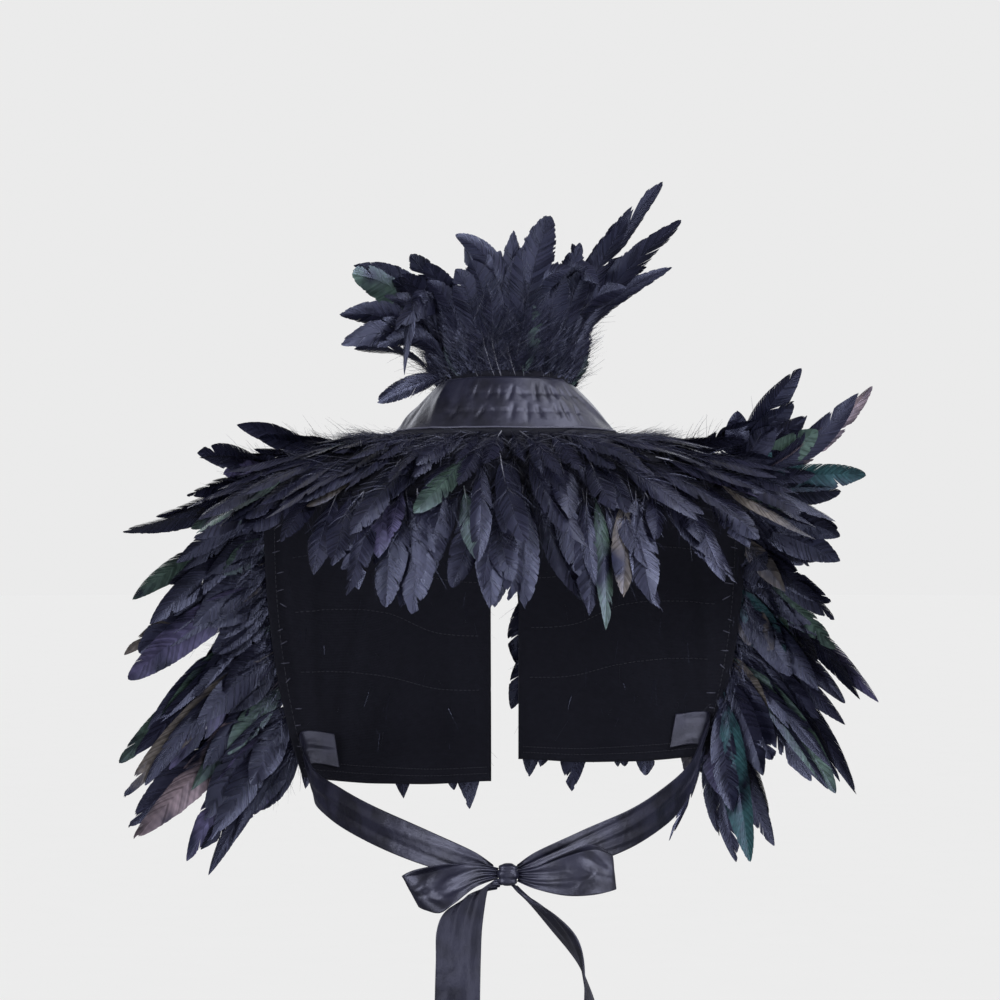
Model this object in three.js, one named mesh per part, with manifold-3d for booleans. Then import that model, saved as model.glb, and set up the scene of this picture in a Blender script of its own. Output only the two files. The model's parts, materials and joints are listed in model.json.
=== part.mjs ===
// A short feather cape with a stand-up feather collar, in the shape it has when worn.
// The back is a narrow yoke, the two fronts reach the waist, and ribbons from the fronts
// are tied in a bow at the back. The wearer isn't part of it, so the inside is hollow.
//
// Millimetres. +Z is up, +Y is the wearer's front and +X the wearer's right.
// The origin is the middle of the neck hole, level with the neckband's lower edge at the back.
import * as THREE from "three";
import { mergeVertices } from "three/addons/utils/BufferGeometryUtils.js";
import Module from "manifold-3d";

const wasm = await Module();
wasm.setup();

// Cloth
const KNIT_WALL = 1.6;
const SATIN_WALL = 1.2;

// Neckband: a cone round the root of the neck. A turn is an angle round the neck in degrees,
// 0 at the middle of the back, 90 at the right shoulder, 180 at the middle of the front.
const BAND = {
  topHalfX: 54, topHalfY: 56, topCentreY: 6, topBackZ: 40, topFrontDrop: 26,
  lowHalfX: 88, lowHalfY: 77, lowCentreY: 5, lowFrontDrop: 28, lowDropPower: 2.5,
  roll: 2.2, endTurn: 173, taperTurn: 150, endShare: 0.3,
  gathers: 11, gatherTurn: 48, gatherDepth: 0.9,
};

// Yoke: a crescent over the upper back, from shoulder seam to shoulder seam.
const YOKE = {
  halfX: 186, centreY: 4, depth: 102, depthPower: 0.7,
  sideZ: -36, backDrop: 14, bladeDrop: 12, bulge: 7, neckEase: 1.2,
};

// Fronts: each column of the cloth is a curve from the neck or shoulder seam to the hem.
// at is the share of the way from the centre edge to the outer edge.
const FRONT_COLUMNS = [
  { at: 0.0, high: [12, 106, -92], low: [11, 130, -200], hem: [11, 119, -284] },
  { at: 0.25, high: [58, 106, -86], low: [53, 132, -200], hem: [51, 121, -286] },
  { at: 0.5, high: [98, 84, -50], low: [97, 124, -190], hem: [91, 114, -286] },
  { at: 0.75, high: [146, 68, -50], low: [146, 106, -180], hem: [129, 102, -283] },
  { at: 1.0, high: [194, 50, -62], low: [196, 78, -180], hem: [163, 86, -278] },
];
const FRONT = { seamGap: 1.3, folds: 2.5, foldDepth: 3.5 };
// The bow's pull holds the right front a little higher than the left.
const HEM_RISE = { left: 0, right: 18 };
const SIDES = [
  { name: "left", sign: -1 },
  { name: "right", sign: 1 },
];

// Ribbons. Each row is one station along a ribbon: the middle of its width, the direction
// across it (heading in the plan, and lift above it, in degrees) and its width there.
const WAIST_STATIONS = [
  { x: 156, y: 64, z: -276, heading: 180, lift: -80, width: 30 },
  { x: 147, y: 30, z: -285, heading: 180, lift: -84, width: 30 },
  { x: 128, y: -6, z: -294, heading: 180, lift: -88, width: 30 },
  { x: 98, y: -50, z: -305, heading: -60, lift: -86, width: 29 },
  { x: 58, y: -82, z: -318, heading: -90, lift: -84, width: 27 },
  { x: 24, y: -97, z: -328, heading: -90, lift: -84, width: 19 },
  { x: 9, y: -100, z: -332, heading: -90, lift: -84, width: 8 },
];
const WAIST_SEAM = { down: 0.92, across: [0.78, 0.93], gap: 2.1, width: 28 };
const BOW_RIBBONS = {
  bow_loop_right: [
    { x: 9.5, y: -104, z: -336, heading: -90, lift: -86, width: 8 },
    { x: 24, y: -110, z: -337, heading: -90, lift: -84, width: 17 },
    { x: 45, y: -116, z: -335, heading: -90, lift: -78, width: 29 },
    { x: 66, y: -116, z: -332, heading: -90, lift: -76, width: 34 },
    { x: 81, y: -108, z: -330, heading: -60, lift: -80, width: 34 },
    { x: 66, y: -98, z: -330, heading: 90, lift: -84, width: 34 },
    { x: 44, y: -98, z: -333, heading: 90, lift: -84, width: 26 },
    { x: 24, y: -101, z: -335, heading: 90, lift: -84, width: 12 },
    { x: 14, y: -102, z: -335.5, heading: 90, lift: -86, width: 7 },
  ],
  bow_loop_left: [
    { x: -5, y: -105, z: -334, heading: -90, lift: -86, width: 8 },
    { x: -22, y: -111, z: -334, heading: -90, lift: -70, width: 15 },
    { x: -42, y: -120, z: -337, heading: -70, lift: -50, width: 24 },
    { x: -58, y: -122, z: -342, heading: -50, lift: -52, width: 33 },
    { x: -71, y: -111, z: -343, heading: -20, lift: -60, width: 35 },
    { x: -60, y: -100, z: -343, heading: 20, lift: -70, width: 34 },
    { x: -40, y: -98, z: -340, heading: 60, lift: -78, width: 26 },
    { x: -20, y: -101, z: -336, heading: 90, lift: -84, width: 12 },
    { x: -9.5, y: -102.5, z: -335, heading: 90, lift: -86, width: 7 },
  ],
  bow_tail_left: [
    { x: -4, y: -106, z: -343.2, heading: 0, lift: 40, width: 9 },
    { x: -14, y: -108, z: -346, heading: 0, lift: 32, width: 18 },
    { x: -27, y: -110, z: -357, heading: 4, lift: 22, width: 29 },
    { x: -33, y: -109, z: -376, heading: 8, lift: 6, width: 33 },
    { x: -35, y: -107, z: -400, heading: 10, lift: 2, width: 34 },
    { x: -36, y: -104, z: -435, heading: -4, lift: 0, width: 34 },
    { x: -37, y: -104, z: -470, heading: -10, lift: -8, width: 34 },
    { x: -38, y: -105, z: -496, heading: -6, lift: -26, width: 37 },
  ],
  bow_tail_right: [
    { x: 6, y: -104, z: -342.5, heading: 0, lift: -30, width: 8 },
    { x: 16, y: -108, z: -351, heading: -20, lift: -24, width: 17 },
    { x: 29, y: -111, z: -362, heading: -45, lift: -16, width: 28 },
    { x: 43, y: -111, z: -378, heading: -75, lift: -6, width: 33 },
    { x: 53, y: -109, z: -395, heading: -100, lift: 0, width: 34 },
    { x: 59, y: -107, z: -414, heading: -125, lift: 0, width: 34 },
    { x: 64, y: -105, z: -440, heading: -150, lift: 6, width: 34 },
    { x: 68, y: -104, z: -476, heading: -165, lift: 26, width: 37 },
  ],
};
const NECK_TIE_STATIONS = [
  { x: 4, y: 82, z: -14.2, heading: 10, lift: 0, width: 6 },
  { x: 8, y: 104, z: -22, heading: 10, lift: 0, width: 11 },
  { x: 12, y: 130, z: -44, heading: 6, lift: 0, width: 15 },
  { x: 15, y: 146, z: -78, heading: -6, lift: 0, width: 16 },
  { x: 17, y: 152, z: -112, heading: -14, lift: 0, width: 16 },
  { x: 19, y: 154, z: -140, heading: -10, lift: 22, width: 17 },
];
const BOW_KNOT = { x: 2, y: -104, z: -334.5, halfX: 6.6, halfY: 6.5, halfZ: 6 };
const NECK_KNOT = { x: 0, y: 75, z: -8, halfX: 8.7, halfY: 7, halfZ: 8.5 };

// Feathers: a blade of three sides with a ridge along its shaft, widest past its middle.
const TAPE = { width: 8, height: 3.4, lift: 0.8 };
const SHOULDER_TAPE = { ...TAPE, lift: 0.5 };
const COLLAR_TAPE = { width: 9, height: 2.8, lift: 0.3 };
const BLADE = { ridge: 2.2, droopedEdge: 0.1, sections: [0, 0.3, 0.6, 0.86], rootWidth: 0.2 };
const CLEARANCE = { width: 1.6, ridge: 1.2 };
const LIFTING = { step: 2.5, most: 13 };

// Rows of feathers on the cloth. line is the share of the way out or down that the tape lies
// at, span or reach the part of the width that it crosses, fan how far its feathers turn outwards.
const FRONT_TIERS = [
  { name: "front_5", line: 0.72, span: [0.07, 0.88], count: 8, length: 84, width: 22, lift: 5, fan: 0.25 },
  { name: "front_4", line: 0.56, span: [0.07, 0.88], count: 8, length: 82, width: 22, lift: 9, fan: 0.25 },
  { name: "front_3", line: 0.4, span: [0.07, 0.88], count: 8, length: 82, width: 22, lift: 9, fan: 0.3 },
  { name: "front_2", line: 0.24, span: [0.07, 0.88], count: 8, length: 80, width: 22, lift: 9, fan: 0.35 },
  { name: "front_1", line: 0.13, span: [0.09, 0.88], count: 8, length: 76, width: 21, lift: 10, fan: 0.4 },
  { name: "front_neckline", line: 0.045, span: [0.05, 0.46], count: 6, length: 60, width: 17, lift: 12, fan: 1 },
];
// A short row along each shoulder, pointing outwards and spread forwards and back in turn.
const SHOULDER = {
  line: 0.06, span: [0.56, 0.9], count: 5, length: 72, width: 18, lift: 14, spread: 0.35, seed: 77,
};
const BACK_ROWS = [
  { name: "yoke_edge", line: 0.9, reach: 0.93, count: 13, length: 74, width: 23, lift: -4, sag: 0.9 },
  { name: "yoke_middle", line: 0.5, reach: 0.95, count: 15, length: 70, width: 20, lift: 6, sag: 0.35 },
  { name: "neckline", line: 0.13, reach: 0.95, count: 15, length: 60, width: 17, lift: 9, sag: 0.2 },
];

// The feathers that show best, by where on their tape they start and where their tips are.
// arch bows one off the cloth and sway bows it up, both as a share of its length.
const BACK_HEROES = [
  { at: 0.27, x: -110, y: -104, z: -122, width: 19, arch: 0.06, sway: 0 },
  { at: 0.32, x: -95, y: -112, z: -98, width: 18, arch: 0.08, sway: 0 },
  { at: 0.37, x: -70, y: -113, z: -140, width: 27, arch: 0.05, sway: 0 },
  { at: 0.46, x: -17, y: -118, z: -136, width: 19, arch: 0.05, sway: 0 },
  { at: 0.53, x: 15, y: -116, z: -136, width: 20, arch: 0.05, sway: 0 },
  { at: 0.63, x: 75, y: -112, z: -152, width: 17, arch: 0.05, sway: 0 },
  { at: 0.68, x: 88, y: -113, z: -127, width: 19, arch: 0.07, sway: 0 },
  { at: 0.73, x: 112, y: -104, z: -86, width: 16, arch: 0.1, sway: 0.1 },
];
const EDGE_HEROES = {
  left: [
    { at: 0.02, x: -240, y: -2, z: -18, width: 22, arch: 0.02, sway: 0.1 },
    { at: 0.07, x: -248, y: 6, z: -51, width: 22, arch: 0, sway: 0.08 },
    { at: 0.13, x: -302, y: 34, z: -80, width: 22, arch: 0, sway: 0.05 },
    { at: 0.2, x: -258, y: 14, z: -104, width: 18, arch: 0, sway: 0.05 },
    { at: 0.26, x: -295, y: 40, z: -134, width: 22, arch: 0, sway: 0.05 },
    { at: 0.33, x: -281, y: 36, z: -153, width: 18, arch: 0, sway: 0.05 },
    { at: 0.4, x: -303, y: 52, z: -178, width: 22, arch: 0, sway: 0.06 },
    { at: 0.47, x: -299, y: 44, z: -197, width: 27, arch: 0, sway: 0.08 },
    { at: 0.54, x: -280, y: 66, z: -239, width: 18, arch: 0, sway: 0.05 },
    { at: 0.61, x: -308, y: 62, z: -265, width: 20, arch: 0, sway: 0.08 },
    { at: 0.68, x: -300, y: 40, z: -289, width: 20, arch: 0, sway: 0.08 },
    { at: 0.76, x: -297, y: 62, z: -326, width: 28, arch: 0, sway: 0.08 },
    { at: 0.86, x: -255, y: 70, z: -344, width: 22, arch: 0, sway: 0.06 },
    { at: 0.95, x: -238, y: 76, z: -356, width: 20, arch: 0, sway: 0.06 },
  ],
  right: [
    { at: 0.02, x: 231, y: -4, z: 48, width: 22, arch: 0, sway: 0.08 },
    { at: 0.07, x: 288, y: 12, z: 35, width: 20, arch: 0, sway: -0.14 },
    { at: 0.13, x: 284, y: 20, z: -35, width: 23, arch: 0, sway: 0.05 },
    { at: 0.2, x: 263, y: 14, z: -83, width: 22, arch: 0, sway: 0.06 },
    { at: 0.27, x: 265, y: 34, z: -103, width: 22, arch: 0, sway: 0.06 },
    { at: 0.34, x: 259, y: 22, z: -148, width: 22, arch: 0, sway: 0.06 },
    { at: 0.41, x: 261, y: 44, z: -173, width: 22, arch: 0, sway: 0.06 },
    { at: 0.49, x: 298, y: 56, z: -216, width: 23, arch: 0, sway: 0.06 },
    { at: 0.57, x: 270, y: 44, z: -233, width: 20, arch: 0, sway: 0.06 },
    { at: 0.65, x: 281, y: 62, z: -290, width: 20, arch: 0, sway: 0.14 },
    { at: 0.73, x: 262, y: 40, z: -287, width: 20, arch: 0, sway: 0.08 },
    { at: 0.82, x: 192, y: 8, z: -338, width: 24, arch: 0, sway: 0.02 },
    { at: 0.9, x: 216, y: 70, z: -332, width: 20, arch: 0, sway: 0.05 },
    { at: 0.97, x: 186, y: 84, z: -346, width: 18, arch: 0, sway: 0.03 },
  ],
};

// The collar: how far out and up its feathers reach at stations round the neck, from the middle
// of the front by the left shoulder, the back and the right shoulder to the front again.
const COLLAR = {
  outerCount: 20, innerCount: 15, ends: 160, width: 20, innerOut: 0.35, innerUp: 1.12, inset: 2.3, rise: 0.5,
};
const COLLAR_FLARE = [
  { out: 62, up: 74 },
  { out: 66, up: 76 },
  { out: 62, up: 72 },
  { out: 36, up: 90 },
  { out: 14, up: 104 },
  { out: 36, up: 100 },
  { out: 70, up: 100 },
  { out: 66, up: 84 },
  { out: 62, up: 74 },
];
const COLLAR_HEROES = [
  { turn: -104, x: -119, y: 24, z: 64, width: 22, arch: 0.02, sway: 0.1 },
  { turn: -88, x: -119, y: -8, z: 121, width: 31, arch: 0.02, sway: 0.1 },
  { turn: -72, x: -128, y: -30, z: 88, width: 22, arch: 0.02, sway: 0.12 },
  { turn: -56, x: -98, y: -52, z: 62, width: 13, arch: 0.02, sway: 0.24 },
  { turn: -18, x: -38, y: -66, z: 147, width: 18, arch: 0.02, sway: 0.04 },
  { turn: 22, x: 34, y: -64, z: 162, width: 21, arch: 0.02, sway: 0 },
  { turn: 56, x: 136, y: -40, z: 161, width: 22, arch: 0.02, sway: 0.08 },
  { turn: 76, x: 123, y: -10, z: 193, width: 21, arch: 0.02, sway: 0.05 },
  { turn: 94, x: 128, y: 14, z: 126, width: 16, arch: 0.02, sway: 0.1 },
];

const KNIT_BLACK = new THREE.MeshStandardMaterial({ color: 0x14141a, roughness: 0.85, metalness: 0 });
const SATIN_BLACK = new THREE.MeshStandardMaterial({ color: 0x23232d, roughness: 0.35, metalness: 0 });
const FEATHER_BLACK = new THREE.MeshStandardMaterial({ color: 0x10121a, roughness: 0.5, metalness: 0.1 });

const UP = new THREE.Vector3(0, 0, 1);
const vec = (x, y, z) => new THREE.Vector3(x, y, z);
const rad = THREE.MathUtils.degToRad;
const mix = THREE.MathUtils.lerp;
const mixPoints = (p, q, t) => p.clone().lerp(q, t);

// A number from 0 to 1 that looks random, always the same for the same key.
function chance(key) {
  const wave = Math.sin(key * 12.9898 + 78.233) * 43758.5453;
  return wave - Math.floor(wave);
}
const jitter = (key, size) => (2 * chance(key) - 1) * size;

// A value read from evenly spaced stations along a smooth curve through them.
function smoothRead(values, t) {
  const place = THREE.MathUtils.clamp(t, 0, 1) * (values.length - 1);
  const i = Math.min(Math.floor(place), values.length - 2);
  const f = place - i;
  const at = (k) => values[THREE.MathUtils.clamp(k, 0, values.length - 1)];
  const [a, b, c, d] = [at(i - 1), at(i), at(i + 1), at(i + 2)];
  return b + 0.5 * f * (c - a + f * (2 * a - 5 * b + 4 * c - d + f * (3 * (b - c) + d - a)));
}

function neckTop(turn) {
  const r = rad(turn);
  const drop = BAND.topFrontDrop * (1 - Math.cos(r)) / 2;
  return vec(BAND.topHalfX * Math.sin(r), BAND.topCentreY - BAND.topHalfY * Math.cos(r), BAND.topBackZ - drop);
}

function neckLow(turn, ease = 0) {
  const r = rad(turn);
  const drop = BAND.lowFrontDrop * ((1 - Math.cos(r)) / 2) ** BAND.lowDropPower;
  const x = (BAND.lowHalfX + ease) * Math.sin(r);
  const y = BAND.lowCentreY - (BAND.lowHalfY + ease) * Math.cos(r);
  return vec(x, y, -drop - ease / 3);
}

// The neckband, down from its top edge. It narrows to the tie at the front, and small gathers
// run down it where the elastic is, across the back.
function bandPoint(u, v) {
  const turn = u * BAND.endTurn;
  const narrowing = THREE.MathUtils.smoothstep(Math.abs(turn), BAND.taperTurn, BAND.endTurn);
  const down = 0.5 + (v - 0.5) * mix(1, BAND.endShare, narrowing);
  const p = mixPoints(neckTop(turn), neckLow(turn), down);
  const gathered = Math.max(0, 1 - (turn / BAND.gatherTurn) ** 2);
  const wave = Math.cos((Math.PI * BAND.gathers * turn) / BAND.gatherTurn);
  const out = BAND.roll * Math.sin(Math.PI * down) + BAND.gatherDepth * gathered * wave;
  return p.add(vec(Math.sin(rad(turn)), -Math.cos(rad(turn)), 0.6).multiplyScalar(out));
}

// The yoke, from the neck to its outer edge.
function yokePoint(u, v) {
  const turn = 90 * u;
  const c = Math.cos(rad(turn));
  const s = Math.sin(rad(turn));
  const inner = neckLow(turn, YOKE.neckEase);
  const y = YOKE.centreY - YOKE.depth * Math.max(c, 0) ** YOKE.depthPower;
  const z = YOKE.sideZ - YOKE.backDrop * c * c - YOKE.bladeDrop * Math.sin(2 * rad(turn)) ** 2;
  const outer = vec(YOKE.halfX * s, y, z);
  const bulge = 4 * v * (1 - v) * YOKE.bulge * c * c;
  return mixPoints(inner, outer, v).add(vec(0, -0.8 * bulge, 0.6 * bulge));
}

// A front, across from its centre edge and down to its hem. Its top edge follows the neckband,
// then the shoulder seam.
function frontPoint(side, across, down) {
  const read = (name) => {
    const axes = [0, 1, 2].map((axis) => smoothRead(FRONT_COLUMNS.map((c) => c[name][axis]), across));
    return vec(...axes);
  };
  const rise = HEM_RISE[side.name];
  const top = across < 0.5
    ? neckLow(BAND.endTurn - (BAND.endTurn - 90) * (across / 0.5), YOKE.neckEase)
    : yokePoint(1, (across - 0.5) / 0.5).add(vec(0, FRONT.seamGap, 0));
  if (across < 0.5) top.y += FRONT.seamGap * (across / 0.5);
  const high = read("high");
  const low = read("low").addScaledVector(UP, rise / 2);
  const hem = read("hem").addScaledVector(UP, rise);
  const p = new THREE.CubicBezierCurve3(top, high, low, hem).getPoint(down);
  // The folds fade out towards the corner, which the waist ribbon pulls taut.
  const slack = 1 - THREE.MathUtils.smoothstep(across, 0.5, 0.78);
  p.y += FRONT.foldDepth * slack * down ** 3 * Math.sin(2 * Math.PI * FRONT.folds * across);
  p.x *= side.sign;
  return p;
}

// A surface's point with its normal, pointing away from a core point.
function framed(point, core) {
  return (u, v) => {
    const e = 1e-3;
    const alongU = point(u + e, v).sub(point(u - e, v));
    const alongV = point(u, v + e).sub(point(u, v - e));
    const normal = alongU.cross(alongV).normalize();
    const p = point(u, v);
    if (normal.dot(p.clone().sub(core)) < 0) normal.negate();
    return { p, normal };
  };
}

const NECK_CORE = vec(0, 6, -60);
const YOKE_CORE = vec(0, 10, -160);
const FRONT_CORE = vec(0, -60, -170);

// Turns a mesh whose faces point inwards the other way out.
function facingOut(geometry) {
  const p = geometry.getAttribute("position");
  const index = geometry.index.array;
  const [a, b, c] = [vec(), vec(), vec()];
  let volume = 0;
  for (let i = 0; i < index.length; i += 3) {
    a.fromBufferAttribute(p, index[i]);
    b.fromBufferAttribute(p, index[i + 1]);
    c.fromBufferAttribute(p, index[i + 2]);
    volume += a.dot(b.cross(c));
  }
  if (volume < 0) {
    for (let i = 0; i < index.length; i += 3) {
      [index[i + 1], index[i + 2]] = [index[i + 2], index[i + 1]];
    }
  }
  return geometry;
}

function indexed(points, triangles) {
  const geometry = new THREE.BufferGeometry().setFromPoints(points);
  geometry.setIndex(triangles);
  return facingOut(geometry);
}

// A cloth wall: the surface read on a grid, a second layer one wall inside it, and a rim.
function clothWall(read, { u = [0, 1], v = [0, 1], columns, rows, wall }) {
  const outer = [];
  const inner = [];
  for (let i = 0; i <= columns; i++) {
    for (let j = 0; j <= rows; j++) {
      const { p, normal } = read(mix(u[0], u[1], i / columns), mix(v[0], v[1], j / rows));
      outer.push(p);
      inner.push(p.clone().addScaledVector(normal, -wall));
    }
  }
  const at = (i, j, layer) => layer * outer.length + i * (rows + 1) + j;
  const triangles = [];
  const quad = (a, b, c, d) => triangles.push(a, b, c, a, c, d);
  for (let i = 0; i < columns; i++) {
    for (let j = 0; j < rows; j++) {
      quad(at(i, j, 0), at(i + 1, j, 0), at(i + 1, j + 1, 0), at(i, j + 1, 0));
      quad(at(i, j + 1, 1), at(i + 1, j + 1, 1), at(i + 1, j, 1), at(i, j, 1));
    }
    quad(at(i, 0, 1), at(i + 1, 0, 1), at(i + 1, 0, 0), at(i, 0, 0));
    quad(at(i, rows, 0), at(i + 1, rows, 0), at(i + 1, rows, 1), at(i, rows, 1));
  }
  for (let j = 0; j < rows; j++) {
    quad(at(0, j, 0), at(0, j + 1, 0), at(0, j + 1, 1), at(0, j, 1));
    quad(at(columns, j, 1), at(columns, j + 1, 1), at(columns, j + 1, 0), at(columns, j, 0));
  }
  return indexed([...outer, ...inner], triangles);
}

function solidOf(geometry) {
  const bare = new THREE.BufferGeometry().setAttribute("position", geometry.getAttribute("position"));
  bare.setIndex(geometry.index);
  const merged = mergeVertices(bare, 1e-4);
  const vertProperties = new Float32Array(merged.getAttribute("position").array);
  const triVerts = new Uint32Array(merged.index.array);
  return new wasm.Manifold(new wasm.Mesh({ numProp: 3, vertProperties, triVerts }));
}

function geometryOf(solid) {
  const mesh = solid.getMesh();
  const geometry = new THREE.BufferGeometry();
  geometry.setAttribute("position", new THREE.BufferAttribute(new Float32Array(mesh.vertProperties), 3));
  geometry.setIndex(new THREE.BufferAttribute(new Uint32Array(mesh.triVerts), 1));
  return geometry;
}

const cape = new THREE.Group();
const obstacles = [];

function obstacle(geometry) {
  const box = new THREE.Box3().setFromBufferAttribute(geometry.getAttribute("position"));
  return { box, solid: solidOf(geometry) };
}

function add(name, geometry, material) {
  const mesh = new THREE.Mesh(geometry, material);
  mesh.name = name;
  cape.add(mesh);
  obstacles.push(obstacle(geometry));
}

function hits(geometry, own) {
  const tried = obstacle(geometry);
  return obstacles.some(
    (o) => o !== own && o.box.intersectsBox(tried.box) && !o.solid.intersect(tried.solid).isEmpty(),
  );
}

// A station's direction across the ribbon, from its heading and lift.
function acrossOf({ heading, lift }) {
  const [h, l] = [rad(heading), rad(lift)];
  return vec(Math.cos(h) * Math.cos(l), Math.sin(h) * Math.cos(l), Math.sin(l));
}

// A ribbon through its stations, thickened towards its back.
function ribbon(stations) {
  const across = stations.map((s) => s.across ?? acrossOf(s));
  const along = (name, u) => smoothRead(stations.map((s) => s[name]), u);
  const turned = (axis, u) => smoothRead(across.map((a) => a[axis]), u);
  const point = (u, v) => {
    const wide = vec(turned("x", u), turned("y", u), turned("z", u)).normalize();
    const middle = vec(along("x", u), along("y", u), along("z", u));
    return middle.addScaledVector(wide, (v - 0.5) * along("width", u));
  };
  const read = (u, v) => {
    const e = 1e-3;
    const alongU = point(Math.min(u + e, 1), v).sub(point(Math.max(u - e, 0), v));
    const alongV = point(u, v + e).sub(point(u, v - e));
    return { p: point(u, v), normal: alongU.cross(alongV).normalize() };
  };
  return clothWall(read, { columns: 3 * (stations.length - 1), rows: 2, wall: SATIN_WALL });
}

function mirrored(stations) {
  const across = stations.map((s) => s.across ?? acrossOf(s));
  const turned = stations.map((s, k) => {
    const { x, y, z } = across[k];
    return { ...s, x: -s.x, across: vec(-x, y, z) };
  });
  return turned.reverse();
}

// The waist ribbon starts under the front's lower corner, flat against the cloth.
function waistStations(side) {
  const seam = WAIST_SEAM.across.map((across) => {
    const { p, normal } = readFront[side.name](across, WAIST_SEAM.down);
    const down = frontPoint(side, across, 0.98).sub(frontPoint(side, across, 0.88)).normalize();
    p.addScaledVector(normal, -KNIT_WALL - WAIST_SEAM.gap);
    down.x *= side.sign;
    return { x: side.sign * p.x, y: p.y, z: p.z, across: down, width: WAIST_SEAM.width };
  });
  const rise = (k) => HEM_RISE[side.name] * Math.max(0, 1 - k / 2.5);
  const rest = WAIST_STATIONS.map((s, k) => ({ ...s, z: s.z + rise(k) }));
  return side.sign > 0 ? [...seam, ...rest] : mirrored([...seam, ...rest]);
}

function knot({ x, y, z, halfX, halfY, halfZ }) {
  const geometry = new THREE.SphereGeometry(1, 12, 8);
  geometry.deleteAttribute("normal");
  geometry.deleteAttribute("uv");
  const merged = mergeVertices(geometry, 1e-4);
  const points = merged.getAttribute("position");
  for (let i = 0; i < points.count; i++) {
    // The ball is squared off, as a ribbon wrapped round the bow is.
    const shape = (value) => Math.sign(value) * Math.abs(value) ** 0.7;
    const [a, b, c] = [points.getX(i), points.getY(i), points.getZ(i)].map(shape);
    points.setXYZ(i, x + halfX * a, y + halfY * b, z + halfZ * c);
  }
  return facingOut(merged);
}

// How wide a feather is at a share of its length, as a share of its full width.
function featherOutline(t) {
  return BLADE.rootWidth * (1 - t) + 0.95 * Math.sqrt(Math.max(0, Math.sin(Math.PI * t ** 1.1)));
}

// A feather's blade along a bent path, from its root to its tip.
function blade({ root, knee, tip, face, width }, extraWidth = 0, extraRidge = 0) {
  const path = new THREE.QuadraticBezierCurve3(root, knee, tip);
  const points = [];
  for (const t of BLADE.sections) {
    const p = path.getPoint(t);
    const tangent = path.getTangent(t);
    const across = tangent.clone().cross(face).normalize();
    const up = across.clone().cross(tangent).normalize();
    const half = (width * Math.min(1, featherOutline(t)) + extraWidth) / 2;
    const edge = -BLADE.droopedEdge * half - extraRidge / 2;
    points.push(p.clone().addScaledVector(across, half).addScaledVector(up, edge));
    points.push(p.clone().addScaledVector(up, BLADE.ridge * (1 - 0.5 * t) + extraRidge / 2));
    points.push(p.clone().addScaledVector(across, -half).addScaledVector(up, edge));
  }
  points.push(tip.clone());
  const triangles = [0, 1, 2];
  const last = points.length - 1;
  for (let k = 0; k < BLADE.sections.length - 1; k++) {
    for (let j = 0; j < 3; j++) {
      const a = 3 * k + j;
      const b = 3 * k + ((j + 1) % 3);
      triangles.push(a, a + 3, b + 3, a, b + 3, b);
    }
  }
  const end = last - 3;
  triangles.push(end, last, end + 1, end + 1, last, end + 2, end + 2, last, end);
  return indexed(points, triangles);
}

// The strip of a feather tape, along a line that gives the cloth's point and normal.
function tapeStrip(line, steps, { width, height, lift }) {
  const points = [];
  for (let k = 0; k <= steps; k++) {
    const s = k / steps;
    const { p, normal } = line(s);
    const along = line(Math.min(1, s + 1e-3)).p.sub(line(Math.max(0, s - 1e-3)).p).normalize();
    const across = along.cross(normal).normalize().multiplyScalar(width / 2);
    const low = p.clone().addScaledVector(normal, lift);
    const high = p.clone().addScaledVector(normal, lift + height);
    points.push(low.clone().add(across), high.clone().add(across));
    points.push(high.clone().sub(across), low.clone().sub(across));
  }
  const triangles = [0, 1, 2, 0, 2, 3];
  for (let k = 0; k < steps; k++) {
    for (let j = 0; j < 4; j++) {
      const a = 4 * k + j;
      const b = 4 * k + ((j + 1) % 4);
      triangles.push(a, a + 4, b + 4, a, b + 4, b);
    }
  }
  const e = 4 * steps;
  triangles.push(e, e + 2, e + 1, e, e + 3, e + 2);
  return indexed(points, triangles);
}

// A tape with its row of feathers. Each feather is turned off the cloth, a step at a time,
// until it clears everything built before it, and is left out where no step clears it.
function featherTape(name, line, feathers, { steps, tape = TAPE, lifts = (n) => n }) {
  const own = obstacle(tapeStrip(line, steps, tape));
  obstacles.push(own);
  let whole = own.solid;
  feathers.forEach(({ at, tip, arch = 0, sway = 0, width, face }, k) => {
    const { p, normal } = line(at);
    const root = p.clone().addScaledVector(normal, tape.lift + tape.height * (k % 2 ? 0.35 : 0.65));
    const reach = tip.clone().sub(root);
    const hinge = reach.clone().cross(normal).normalize();
    for (let n = 0; n < LIFTING.most; n++) {
      const turned = reach.clone().applyAxisAngle(hinge, rad(lifts(n) * LIFTING.step));
      const length = turned.length();
      const knee = root.clone().addScaledVector(turned, 0.5);
      knee.addScaledVector(normal, arch * length).addScaledVector(UP, sway * length);
      const shape = { root, knee, tip: root.clone().add(turned), face: face ?? normal, width };
      if (hits(blade(shape, CLEARANCE.width, CLEARANCE.ridge), own)) continue;
      const made = obstacle(blade(shape));
      obstacles.push(made);
      whole = whole.add(made.solid);
      return;
    }
  });
  const mesh = new THREE.Mesh(geometryOf(whole), FEATHER_BLACK);
  mesh.name = name;
  cape.add(mesh);
}

const heroTip = (h) => ({ ...h, tip: vec(h.x, h.y, h.z) });

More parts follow.
